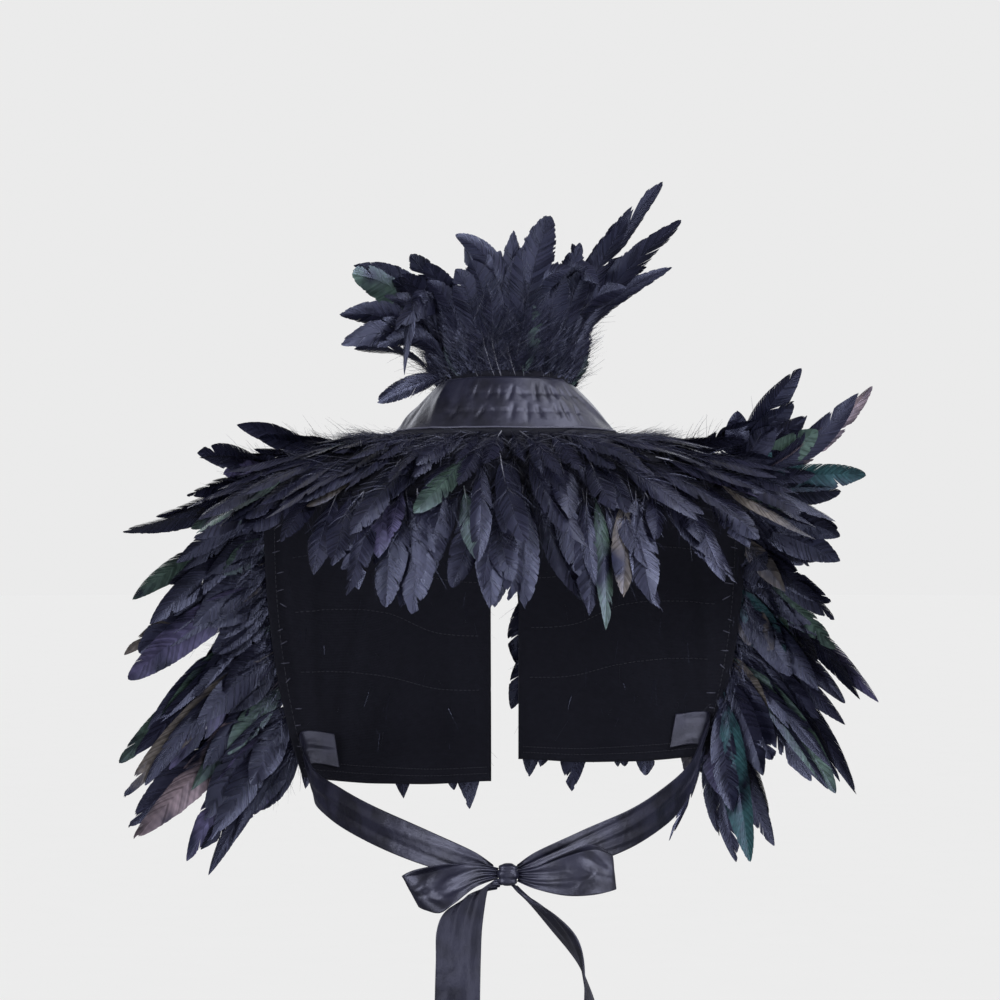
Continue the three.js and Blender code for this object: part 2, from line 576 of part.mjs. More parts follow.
// A row of like feathers along a line, each pointing the way aim gives at its root.
function evenRow(line, aim, { count, length, width, lift, seed, skip = () => false, arch = 0.05 }) {
  const feathers = [];
  for (let k = 0; k < count; k++) {
    const at = (k + 0.5) / count;
    if (skip(at)) continue;
    const { p, normal } = line(at);
    const angle = rad(lift + jitter(seed + k, 1.5));
    const long = length * (1 + jitter(seed + k + 50, 0.12));
    const way = aim(at, k).addScaledVector(normal, -aim(at, k).dot(normal)).normalize();
    const tip = p.clone().addScaledVector(way, long * Math.cos(angle));
    tip.addScaledVector(normal, long * Math.sin(angle));
    feathers.push({ at, tip, arch, width: width * (1 + jitter(seed + k + 90, 0.1)) });
  }
  return feathers;
}

// Cloth pieces
const readBand = framed(bandPoint, NECK_CORE);
const readYoke = framed(yokePoint, YOKE_CORE);
const readFront = Object.fromEntries(
  SIDES.map((side) => [side.name, framed((a, d) => frontPoint(side, a, d), FRONT_CORE)]),
);

const bandWall = clothWall(readBand, { u: [-1, 1], columns: 84, rows: 2, wall: SATIN_WALL });
add("neckband", bandWall, SATIN_BLACK);
const yokeWall = clothWall(readYoke, { u: [-0.998, 0.998], columns: 22, rows: 4, wall: KNIT_WALL });
add("yoke_back", yokeWall, KNIT_BLACK);
for (const side of SIDES) {
  const read = readFront[side.name];
  add(`front_${side.name}`, clothWall(read, { columns: 12, rows: 11, wall: KNIT_WALL }), KNIT_BLACK);
  add(`waist_ribbon_${side.name}`, ribbon(waistStations(side)), SATIN_BLACK);
}
for (const [name, stations] of Object.entries(BOW_RIBBONS)) add(name, ribbon(stations), SATIN_BLACK);
add("bow_knot", knot(BOW_KNOT), SATIN_BLACK);
add("neck_knot", knot(NECK_KNOT), SATIN_BLACK);
add("neck_tie_right", ribbon(NECK_TIE_STATIONS), SATIN_BLACK);
add("neck_tie_left", ribbon(mirrored(NECK_TIE_STATIONS)), SATIN_BLACK);

// Feathers along the fronts' outer edges, then tier by tier from the hem up
for (const side of SIDES) {
  const read = readFront[side.name];
  const edge = (s) => read(0.95, mix(0.03, 0.95, s));
  const heroes = EDGE_HEROES[side.name].map(heroTip);
  featherTape(`feathers_edge_${side.name}`, edge, heroes, { steps: 14 });
  FRONT_TIERS.forEach((tier, t) => {
    const line = (s) => read(mix(tier.span[0], tier.span[1], s), tier.line);
    const aim = (s) => {
      const across = mix(tier.span[0], tier.span[1], s);
      const here = frontPoint(side, across, tier.line);
      const down = frontPoint(side, across, tier.line + 0.01).sub(here).normalize();
      return down.add(vec(side.sign * tier.fan * (across - 0.2), 0, 0));
    };
    const feathers = evenRow(line, aim, { ...tier, seed: 10 * t + side.sign });
    featherTape(`feathers_${tier.name}_${side.name}`, line, feathers, { steps: 10 });
  });
}

for (const side of SIDES) {
  const across = (s) => mix(SHOULDER.span[0], SHOULDER.span[1], s);
  const line = (s) => readFront[side.name](across(s), SHOULDER.line);
  const aim = (s, k) => {
    const here = frontPoint(side, across(s), SHOULDER.line);
    const out = frontPoint(side, across(s) + 0.02, SHOULDER.line).sub(here).normalize();
    const forward = frontPoint(side, across(s), SHOULDER.line + 0.02).sub(here).normalize();
    return out.addScaledVector(forward, SHOULDER.spread * (k % 2 ? 1.6 : -0.6));
  };
  const feathers = evenRow(line, aim, SHOULDER).reverse();
  featherTape(`feathers_shoulder_${side.name}`, line, feathers, { steps: 6, tape: SHOULDER_TAPE });
}

// Feathers on the yoke, from its edge in to the neck
for (const row of BACK_ROWS) {
  const across = (s) => mix(-row.reach, row.reach, s);
  const line = (s) => readYoke(across(s), row.line);
  const aim = (s) => {
    const inside = yokePoint(across(s), row.line - 0.02);
    const out = yokePoint(across(s), row.line + 0.02).sub(inside).normalize();
    return out.addScaledVector(UP, -row.sag * Math.cos(rad(90 * across(s))));
  };
  const heroes = row.name === "yoke_edge" ? BACK_HEROES : [];
  const skip = (at) => heroes.some((h) => Math.abs(h.at - at) < 0.035);
  const rowFeathers = [...heroes.map(heroTip), ...evenRow(line, aim, { ...row, seed: 300, skip })];
  featherTape(`feathers_${row.name}`, line, rowFeathers, { steps: 22 });
}

// The collar, standing up from a tape inside the band's top edge
const collarLine = (s) => {
  const turn = mix(-COLLAR.ends, COLLAR.ends, s);
  const inwards = vec(-Math.sin(rad(turn)), Math.cos(rad(turn)), 0);
  const p = neckTop(turn).addScaledVector(inwards, COLLAR.inset);
  return { p: p.addScaledVector(UP, COLLAR.rise), normal: inwards };
};
function collarFeather(turn, width, tip, more = {}) {
  const face = vec(Math.sin(rad(turn)), -Math.cos(rad(turn)), -0.5);
  return { at: (turn + COLLAR.ends) / (2 * COLLAR.ends), width, tip, face, ...more };
}
function collarRow(count, outShare, upShare, seed, room) {
  const feathers = [];
  for (let k = 0; k < count; k++) {
    const turn = mix(-COLLAR.ends, COLLAR.ends, (k + 0.5) / count);
    if (COLLAR_HEROES.some((h) => Math.abs(h.turn - turn) < room)) continue;
    const flare = (name) => smoothRead(COLLAR_FLARE.map((f) => f[name]), (turn + 180) / 360);
    const way = turn + jitter(seed + k, 6);
    const out = flare("out") * outShare * (1 + jitter(seed + k + 30, 0.15));
    const up = flare("up") * upShare * (1 + jitter(seed + k + 60, 0.1));
    const base = neckTop(turn);
    const tip = base.add(vec(out * Math.sin(rad(way)), -out * Math.cos(rad(way)), up));
    feathers.push(collarFeather(turn, COLLAR.width * (1 + jitter(seed + k + 90, 0.15)), tip, { sway: 0.05 }));
  }
  return feathers;
}
const collarHeroes = COLLAR_HEROES.map((h) => collarFeather(h.turn, h.width, vec(h.x, h.y, h.z), h));
const collar = [
  ...collarHeroes,
  ...collarRow(COLLAR.outerCount, 1, 1, 500, 9),
  ...collarRow(COLLAR.innerCount, COLLAR.innerOut, COLLAR.innerUp, 600, 5),
];
const bothWays = (n) => (n % 2 ? (n + 1) / 2 : -n / 2);
featherTape("feathers_collar", collarLine, collar, { steps: 40, tape: COLLAR_TAPE, lifts: bothWays });

export default cape;
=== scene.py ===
"""A short feather cape with a stand-up feather collar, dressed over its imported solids.

The cape keeps the shape that it has when worn, and nothing stands inside it. Millimetres are
used for its sizes and metres for the finished meshes. +Z is up, +Y the wearer's front and +X
the wearer's right. The camera stands behind the cape and looks along +Y.
"""

import json
import logging
from dataclasses import dataclass, field, replace
from enum import Enum
from functools import partial, reduce
from typing import Callable, Iterable, Optional, Sequence

import bpy
import mathutils
import numpy as np
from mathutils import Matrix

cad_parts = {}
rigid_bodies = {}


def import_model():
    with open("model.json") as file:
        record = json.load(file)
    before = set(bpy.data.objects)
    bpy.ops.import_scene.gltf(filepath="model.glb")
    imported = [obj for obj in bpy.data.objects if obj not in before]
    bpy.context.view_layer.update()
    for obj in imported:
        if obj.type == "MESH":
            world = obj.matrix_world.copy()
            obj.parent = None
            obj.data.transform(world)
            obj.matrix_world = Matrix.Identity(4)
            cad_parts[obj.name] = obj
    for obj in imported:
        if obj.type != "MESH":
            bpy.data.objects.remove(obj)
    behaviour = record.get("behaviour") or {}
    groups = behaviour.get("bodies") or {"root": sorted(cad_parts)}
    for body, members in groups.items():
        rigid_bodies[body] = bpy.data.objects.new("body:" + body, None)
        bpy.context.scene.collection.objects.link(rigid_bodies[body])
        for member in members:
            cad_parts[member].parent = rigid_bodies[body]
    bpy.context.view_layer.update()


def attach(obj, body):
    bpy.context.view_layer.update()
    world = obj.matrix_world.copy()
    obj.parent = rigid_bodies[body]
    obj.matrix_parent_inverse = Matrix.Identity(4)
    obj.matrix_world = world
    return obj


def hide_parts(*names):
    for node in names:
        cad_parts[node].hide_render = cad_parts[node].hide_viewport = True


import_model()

log = logging.getLogger("feather_cape")
Array = np.ndarray
Surface = Callable[[Array, Array], Array]
Place = Callable[[Array], tuple[Array, Array]]
Rail = Callable[[Array], tuple[Array, Array, Array]]
Floats = tuple[float, ...]
Pair = tuple[float, float]
Triple = tuple[float, float, float]
Four = tuple[float, float, float, float]
Rows = Sequence[Sequence[float]]
Socket = bpy.types.NodeSocket
Material = bpy.types.Material
Object = bpy.types.Object
frozen = dataclass(frozen=True)
MM = 0.001
UP = np.array([0.0, 0.0, 1.0])
KNIT_WALL = 1.6
SATIN_WALL = 1.2


# Small sums

def chance(key: Array) -> Array:
    """A number from 0 to 1 that looks random: the fraction of 43758.5453 sin(12.9898 key + 78.233).

    Args:
        key: any numbers.
    Returns:
        One number for each key, always the same for the same key.
    """
    wave = np.sin(np.asarray(key, float) * 12.9898 + 78.233) * 43758.5453
    return wave - np.floor(wave)


def jitter(key: Array, size: float) -> Array:
    """A number between minus size and size for each key."""
    return (2 * chance(key) - 1) * size


def mix(a: Array, b: Array, t: Array) -> Array:
    """The value t of the way from a to b."""
    return a + (b - a) * t


def smoothstep(x: Array, low: float, high: float) -> Array:
    """0 below low and 1 above high, with 3s^2 - 2s^3 between them."""
    s = np.clip((x - low) / (high - low), 0, 1)
    return s * s * (3 - 2 * s)


def unit(v: Array) -> Array:
    """Each vector divided by its length."""
    return v / np.maximum(np.linalg.norm(v, axis=-1, keepdims=True), 1e-12)


def vector(x: Array, y: Array, z: Array) -> Array:
    """Vectors put together from their three parts."""
    return np.stack(np.broadcast_arrays(x, y, z), axis=-1).astype(float)


def smooth_read(values: Sequence[float], t: Array) -> Array:
    """A Catmull-Rom curve through evenly spaced values, read at t.

    Args:
        values: one value, or one vector, for each station.
        t: the share of the way from the first station to the last.
    Returns:
        The curve's value at each t.
    """
    v = np.asarray(values, float)
    place = np.clip(t, 0, 1) * (len(v) - 1)
    i = np.minimum(np.floor(place).astype(int), len(v) - 2)
    f = place - i
    if v.ndim > 1:
        f = f[..., None]
    a, b = v[np.clip(i - 1, 0, len(v) - 1)], v[i]
    c, d = v[i + 1], v[np.clip(i + 2, 0, len(v) - 1)]
    return b + 0.5 * f * (c - a + f * (2 * a - 5 * b + 4 * c - d + f * (3 * (b - c) + d - a)))


def per_feather(values: Array, like: Array) -> Array:
    """One value for each feather, over an array whose first axis is the feathers."""
    return values[(slice(None),) + (None,) * (like.ndim - 1)] + np.zeros_like(like)


def strays(key: Array, size: float, aside: float = 1.0) -> Array:
    """A chance step for each key: up to size along X and Z, and aside times that along Y."""
    return np.stack([jitter(key + 20, size), jitter(key + 40, aside * size),
                     jitter(key + 60, size)], -1)


# The cape's form

class Side(Enum):
    """The wearer's left and right, with the sign of X there."""
    LEFT = -1
    RIGHT = 1

    @property
    def word(self) -> str:
        """The side's name as the nodes spell it."""
        return self.name.lower()


@frozen
class NeckbandForm:
    """The neckband's cone. A turn goes round the neck in degrees, 0 at the middle of the back."""
    top_half_x: float = 54
    top_half_y: float = 56
    top_centre_y: float = 6
    top_back_z: float = 40
    top_front_drop: float = 26
    top_drop_power: float = 1.6
    low_half_x: float = 88
    low_half_y: float = 77
    low_centre_y: float = 5
    low_front_drop: float = 28
    low_drop_power: float = 2.5
    roll: float = 0.6
    roll_up: float = 0.6
    end_turn: float = 173
    taper_turn: float = 150
    end_share: float = 0.3

    def top(self, turn: Array) -> Array:
        """The band's top edge: an ellipse that drops towards the front."""
        r = np.radians(turn)
        drop = self.top_front_drop * ((1 - np.cos(r)) / 2) ** self.top_drop_power
        y = self.top_centre_y - self.top_half_y * np.cos(r)
        return vector(self.top_half_x * np.sin(r), y, self.top_back_z - drop)

    def low(self, turn: Array, ease: float = 0) -> Array:
        """The band's lower edge, or an ellipse that much larger, steeper towards the front."""
        r = np.radians(turn)
        drop = self.low_front_drop * ((1 - np.cos(r)) / 2) ** self.low_drop_power
        x = (self.low_half_x + ease) * np.sin(r)
        y = self.low_centre_y - (self.low_half_y + ease) * np.cos(r)
        return vector(x, y, -drop - ease / 3)

    def surface(self, u: Array, v: Array) -> Array:
        """The band from u -1 to 1 round the neck and v 0 to 1 down from its top edge.

        A straight line joins the two edges, rolls out by a half sine, and closes towards its
        middle over the last turns, where the band narrows to its tie.
        """
        turn = np.asarray(u) * self.end_turn
        narrowing = smoothstep(np.abs(turn), self.taper_turn, self.end_turn)
        down = 0.5 + (v - 0.5) * mix(1, self.end_share, narrowing)
        p = mix(self.top(turn), self.low(turn), down[..., None])
        r = np.radians(turn)
        out = vector(np.sin(r), -np.cos(r), self.roll_up)
        return p + out * (self.roll * np.sin(np.pi * down))[..., None]


@frozen
class YokeForm:
    """The yoke: a crescent over the upper back, from shoulder seam to shoulder seam."""
    half_x: float = 186
    centre_y: float = 4
    depth: float = 102
    depth_power: float = 0.7
    side_z: float = -36
    back_drop: float = 14
    blade_drop: float = 12
    bulge: float = 7
    neck_ease: float = 1.2
    bulge_way: Triple = (0, -0.8, 0.6)


@frozen
class FrontColumn:
    """One column of a front: a cubic curve's two middle points and its end at the hem."""
    high: Triple
    low: Triple
    hem: Triple


FRONT_COLUMNS = (
    FrontColumn((12, 106, -92), (11, 130, -200), (11, 119, -284)),
    FrontColumn((58, 106, -86), (53, 132, -200), (51, 121, -286)),
    FrontColumn((98, 84, -50), (97, 124, -190), (91, 114, -286)),
    FrontColumn((146, 68, -50), (146, 106, -180), (129, 102, -283)),
    FrontColumn((194, 50, -62), (196, 78, -180), (163, 86, -278)),
)


@frozen
class CapeForm:
    """Every cloth surface of the cape, in millimetres, as a function of two shares."""
    band: NeckbandForm = NeckbandForm()
    yoke_form: YokeForm = YokeForm()
    columns: tuple[FrontColumn, ...] = FRONT_COLUMNS
    seam_gap: float = 1.3
    folds: float = 2.5
    fold_depth: float = 3.5
    right_hem_rise: float = 18
    shoulder_from: float = 0.5
    slack_end: float = 0.78

    def yoke(self, u: Array, v: Array) -> Array:
        """The yoke from u -1 to 1 between the shoulders and v 0 to 1 out from the neck.

        Straight lines run out from the neck's ellipse to the outer edge, x = half_x sin t,
        y = centre_y - depth cos^0.7 t, and bulge by a parabola across the back.
        """
        f = self.yoke_form
        r = np.radians(90 * np.asarray(u, float))
        c = np.maximum(np.cos(r), 0)
        y = f.centre_y - f.depth * c ** f.depth_power
        z = f.side_z - f.back_drop * c * c - f.blade_drop * np.sin(2 * r) ** 2
        outer = vector(f.half_x * np.sin(r), y, z)
        inner = self.band.low(np.degrees(r), f.neck_ease)
        bulge = 4 * v * (1 - v) * f.bulge * c * c
        return mix(inner, outer, np.asarray(v)[..., None]) + vector(*(w * bulge for w in f.bulge_way))

    def rise(self, side: Side) -> float:
        """How far the bow holds that side's hem up."""
        return self.right_hem_rise if side is Side.RIGHT else 0

    def one_front(self, side: Side) -> Surface:
        """That side's front as a surface."""
        return lambda across, down: self.front(side, across, down)

    def front(self, side: Side, across: Array, down: Array) -> Array:
        """A front: cubic curves from the neck or shoulder seam to the hem, column by column.

        Args:
            side: the wearer's left or right.
            across: the share of the way from the centre edge to the outer edge.
            down: the share of the way down.
        Returns:
            The points of the cloth's outer face.
        """
        a, d = np.broadcast_arrays(np.asarray(across, float), np.asarray(down, float))
        end = self.band.end_turn
        part = self.shoulder_from
        neck = self.band.low(end - (end - 90) * np.minimum(a / part, 1), self.yoke_form.neck_ease)
        neck = neck + vector(0, self.seam_gap * np.minimum(a / part, 1), 0)
        shoulder = self.yoke(np.ones_like(a), np.clip((a - part) / (1 - part), 0, 1))
        shoulder = shoulder + vector(0, self.seam_gap, 0)
        top = np.where((a < part)[..., None], neck, shoulder)
        high = smooth_read([c.high for c in self.columns], a)
        low = smooth_read([c.low for c in self.columns], a) + UP * self.rise(side) / 2
        hem = smooth_read([c.hem for c in self.columns], a) + UP * self.rise(side)
        t = d[..., None]
        s = 1 - t
        p = s ** 3 * top + 3 * s * s * t * high + 3 * s * t * t * low + t ** 3 * hem
        slack = 1 - smoothstep(a, part, self.slack_end)
        wave = self.fold_depth * slack * d ** 3 * np.sin(2 * np.pi * self.folds * a)
        return (p + vector(0, wave, 0)) * np.array([side.value, 1, 1])


FORM = CapeForm()
NECK_CORE = np.array([0.0, 6, -60])
YOKE_CORE = np.array([0.0, 10, -160])
FRONT_CORE = np.array([0.0, -60, -170])


def normals(surface: Surface, u: Array, v: Array, core: Optional[Array]) -> Array:
    """A surface's unit normals, from the cross product of its two slopes.

    They turn away from core, or keep the slopes' own sense without one.
    """
    e = 1e-3
    along_u = surface(u + e, v) - surface(u - e, v)
    along_v = surface(u, v + e) - surface(u, v - e)
    n = unit(np.cross(along_u, along_v))
    if core is None:
        return n
    away = np.sum(n * (surface(u, v) - core), axis=-1, keepdims=True)
    return np.where(away < 0, -n, n)


@frozen
class Fold:
    """A soft ridge, or a trough where height is below 0, along a line on the cloth.

    start and end are (across, down) shares, height and width are in millimetres.
    """
    start: Pair
    end: Pair
    height: float
    width: float


def relief(u: Array, v: Array, folds: Iterable[Fold], size: Pair) -> Array:
    """The height of all folds at each point.

    Each fold is height e^(-(d / width)^2), where d is the distance to its line, times a half
    sine along the line, so that it dies out at both ends.

    Args:
        u: the first share.
        v: the second share.
        folds: the folds.
        size: the cloth's width and length in millimetres.
    Returns:
        Millimetres off the plain surface.
    """
    total = np.zeros(np.broadcast(u, v).shape)
    x, y = u * size[0], v * size[1]
    for fold in folds:
        x0, y0 = fold.start[0] * size[0], fold.start[1] * size[1]
        dx, dy = fold.end[0] * size[0] - x0, fold.end[1] * size[1] - y0
        length = max(np.hypot(dx, dy), 1e-6)
        along = ((x - x0) * dx + (y - y0) * dy) / length
        aside = ((x - x0) * dy - (y - y0) * dx) / length
        share = np.clip(along / length, -0.15, 1.15)
        end = np.cos(np.clip((share - 0.5) / 1.3 * np.pi, -np.pi / 2, np.pi / 2)) ** 0.8
        total = total + fold.height * end * np.exp(-(aside / fold.width) ** 2)
    return total


def folds_from(rows: Iterable[Sequence[float]]) -> list[Fold]:
    """Folds from rows of start across and down, end across and down, height and width."""
    return [Fold((a, b), (c, d), height, width) for a, b, c, d, height, width in rows]


# Meshes

@dataclass
class MeshParts:
    """Arrays that make a mesh: points in metres, faces, and values for each point."""
    points: Array
    quads: Array
    triangles: Array = field(default_factory=lambda: np.zeros((0, 3), int))
    uv: Optional[Array] = None
    paint: Optional[Array] = None

    def joined(self, other: "MeshParts") -> "MeshParts":
        """This mesh and another as one."""
        n = len(self.points)
        both = [None if a is None or b is None else np.concatenate([a, b])
                for a, b in ((self.uv, other.uv), (self.paint, other.paint))]
        return MeshParts(np.concatenate([self.points, other.points]),
                         np.concatenate([self.quads, other.quads + n]),
                         np.concatenate([self.triangles, other.triangles + n]), *both)

    def build(self, name: str, smooth: bool = True) -> Object:
        """A linked Blender object of that name at the origin, shaded smooth or flat."""
        mesh = bpy.data.meshes.new(name)
        loops = np.concatenate([self.quads.ravel(), self.triangles.ravel()]).astype(np.int32)
        sizes = np.concatenate([np.full(len(self.quads), 4), np.full(len(self.triangles), 3)])
        starts = np.concatenate([[0], np.cumsum(sizes)[:-1]]).astype(np.int32)
        mesh.vertices.add(len(self.points))
        mesh.vertices.foreach_set("co", self.points.astype(np.float32).ravel())
        mesh.loops.add(len(loops))
        mesh.loops.foreach_set("vertex_index", loops)
        mesh.polygons.add(len(sizes))
        mesh.polygons.foreach_set("loop_start", starts)
        mesh.polygons.foreach_set("use_smooth", np.full(len(sizes), smooth))
        if self.uv is not None:
            layer = mesh.uv_layers.new(name="UVMap")
            layer.data.foreach_set("uv", self.uv[loops].astype(np.float32).ravel())
        if self.paint is not None:
            layer = mesh.color_attributes.new("paint", "FLOAT_COLOR", "POINT")
            layer.data.foreach_set("color", self.paint.astype(np.float32).ravel())
        mesh.update(calc_edges=True)
        mesh.validate()
        obj = bpy.data.objects.new(name, mesh)
        bpy.context.scene.collection.objects.link(obj)
        return obj


def mesh_of(points: Array, quads: Array, uv: Array, paint: Optional[Array] = None,
            triangles: Optional[Array] = None) -> MeshParts:
    """A mesh from grids of any shape, with points in millimetres and its UV map in metres."""
    return MeshParts(points.reshape(-1, 3) * MM, quads.reshape(-1, 4),
                     np.zeros((0, 3), int) if triangles is None else triangles,
                     uv.reshape(-1, 2), None if paint is None else paint.reshape(-1, 4))


def all_joined(parts: Iterable[MeshParts]) -> MeshParts:
    """Many meshes as one, in their order."""
    return reduce(MeshParts.joined, parts)


def grid_faces(index: Array) -> Array:
    """The corners of each face of a grid of points, whose rows and columns are the last axes."""
    return np.stack([index[..., :-1, :-1], index[..., 1:, :-1],
                     index[..., 1:, 1:], index[..., :-1, 1:]], -1)


def ring_faces(index: Array) -> Array:
    """The same for a grid that closes round its last axis."""
    return grid_faces(np.concatenate([index, index[..., :1]], -1)).reshape(-1, 4)


def cloth_wall(surface: Surface, u: Array, v: Array, wall: float, size: Pair,
               core: Optional[Array] = None, raised: Optional[Surface] = None) -> MeshParts:
    """A closed cloth wall: a grid of a surface, the same grid one wall inside, and a rim.

    Args:
        surface: points in millimetres for two shares.
        u: the first share's stations.
        v: the second share's stations.
        wall: thickness in millimetres.
        size: the cloth's width and length in millimetres, for its UV map in metres.
        core: a point that the outer face turns away from.
        raised: millimetres off the surface for two shares, for folds and gathers.
    Returns:
        The mesh's arrays.
    """
    gu, gv = np.meshgrid(u, v, indexing="ij")
    n = normals(surface, gu, gv, core)
    p = surface(gu, gv)
    if raised is not None:
        p = p + n * raised(gu, gv)[..., None]
    points = np.concatenate([p.reshape(-1, 3), (p - n * wall).reshape(-1, 3)]) * MM
    rows, columns = gu.shape
    index = np.arange(rows * columns).reshape(rows, columns)
    front = grid_faces(index).reshape(-1, 4)
    back = front[:, ::-1] + rows * columns
    ring = np.concatenate([index[:, 0], index[-1, 1:], index[-2::-1, -1], index[0, -2:0:-1]])
    after = np.roll(ring, -1)
    rim = np.stack([ring, ring + rows * columns, after + rows * columns, after], -1)
    quads = np.concatenate([front, back, rim])
    slope = np.cross(p[1, 0] - p[0, 0], p[0, 1] - p[0, 0])
    if np.dot(slope, n[0, 0]) < 0:
        quads = quads[:, ::-1]
    span = np.array([size[0] / (u[-1] - u[0]), size[1] / (v[-1] - v[0])]) * MM
    uv = np.stack([(gu - u[0]) * span[0], (gv - v[0]) * span[1]], -1).reshape(-1, 2)
    return MeshParts(points, quads, uv=np.concatenate([uv, uv]))


def dress(obj: Object, material: Material,
          nodes: Sequence[str] = ()) -> Object:
    """Gives a piece its material, and lets it ride on the cape and stand for nodes."""
    obj.data.materials.append(material)
    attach(obj, "root")
    if nodes:
        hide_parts(*nodes)
    return obj


# Finishes

class NodeBench:
    """A material's node tree with short ways to add and join nodes."""

    def __init__(self, name: str) -> None:
        """A new material with one Principled shader."""
        self.material = bpy.data.materials.new(name)
        self.material.use_nodes = True
        self.tree = self.material.node_tree
        self.shader = self.tree.nodes["Principled BSDF"]

    def add(self, kind: str, inputs: Optional[dict] = None, **settings: object) -> bpy.types.Node:
        """A node with its settings. inputs gives each input a value or the socket that feeds it."""
        node = self.tree.nodes.new(kind)
        for key, value in settings.items():
            setattr(node, key, value)
        for key, value in (inputs or {}).items():
            self.feed(node.inputs[key], value)
        return node

    def feed(self, socket: Socket, value: object) -> None:
        """Links a socket, or sets its value."""
        if isinstance(value, Socket):
            self.tree.links.new(value, socket)
        else:
            socket.default_value = value

    def sum(self, operation: str, a: object, b: object = 0.0) -> Socket:
        """One Math node's result."""
        return self.add("ShaderNodeMath", {0: a, 1: b}, operation=operation).outputs[0]

    def scaled(self, value: object, factor: float, offset: object) -> Socket:
        """The value times a factor, plus an offset or another value."""
        node = self.add("ShaderNodeMath", {0: value, 1: factor, 2: offset}, operation="MULTIPLY_ADD")
        return node.outputs[0]

    def wave(self, value: object, rate: float) -> Socket:
        """The sine of a value times a rate."""
        return self.sum("SINE", self.sum("MULTIPLY", value, rate))

    def uv_parts(self) -> tuple[Socket, Socket]:
        """The two numbers of the piece's own UV map, in metres."""
        uv = self.add("ShaderNodeUVMap", uv_map="UVMap")
        place = self.add("ShaderNodeSeparateXYZ", {"Vector": uv.outputs[0]})
        return place.outputs[0], place.outputs[1]

    def noise(self, scale: float, detail: float = 3) -> Socket:
        """Noise at Object coordinates, from 0 to 1."""
        place = self.add("ShaderNodeTexCoord").outputs["Object"]
        node = self.add("ShaderNodeTexNoise", {"Vector": place, "Scale": scale, "Detail": detail})
        return node.outputs["Fac"]

    def patches(self, scale: float, detail: float, low: float, high: float) -> Socket:
        """Noise stretched so that low becomes 0 and high becomes 1."""
        inputs = {"Value": self.noise(scale, detail), "From Min": low, "From Max": high}
        return self.add("ShaderNodeMapRange", inputs).outputs[0]

    def steps(self, value: object, stops: Sequence[tuple[float, Triple]]) -> Socket:
        """A value's colour on a ramp of hard steps, each with its place and colour."""
        node = self.add("ShaderNodeValToRGB", {"Fac": value})
        node.color_ramp.interpolation = "CONSTANT"
        elements = node.color_ramp.elements
        while len(elements) < len(stops):
            elements.new(0.5)
        for element, (place, colour) in zip(elements, stops):
            element.position = place
            element.color = (*colour, 1)
        return node.outputs["Color"]

    def blend(self, share: object, a: object, b: object) -> Socket:
        """Colour a mixed with colour b by a share."""
        a, b = ((*c, 1) if isinstance(c, tuple) else c for c in (a, b))
        return self.add("ShaderNodeMix", {"Factor": share, 6: a, 7: b}, data_type="RGBA").outputs[2]

    def bump(self, height: object, distance: float, strength: float = 1) -> None:
        """Feeds the shader's normal from a height in metres times distance."""
        node = self.add("ShaderNodeBump", {"Height": height, "Distance": distance, "Strength": strength})
        self.feed(self.shader.inputs["Normal"], node.outputs[0])

    def set(self, **values: object) -> None:
        """Sets the shader's sockets, with spaces in their names written as underscores."""
        for key, value in values.items():
            self.feed(self.shader.inputs[key.replace("_", " ")], value)


class Glint(Enum):
    """The colour of a feather's painted sheen, laid into its base colour in patches."""
    NIGHT = 0
    GREEN = 1
    TEAL = 2
    PURPLE = 3
    BRONZE = 4
    PINK = 5

    @property
    def place(self) -> float:
        """The glint's place on the ramp of glints, from 0 to 1."""
        return (self.value + 0.5) / len(Glint)


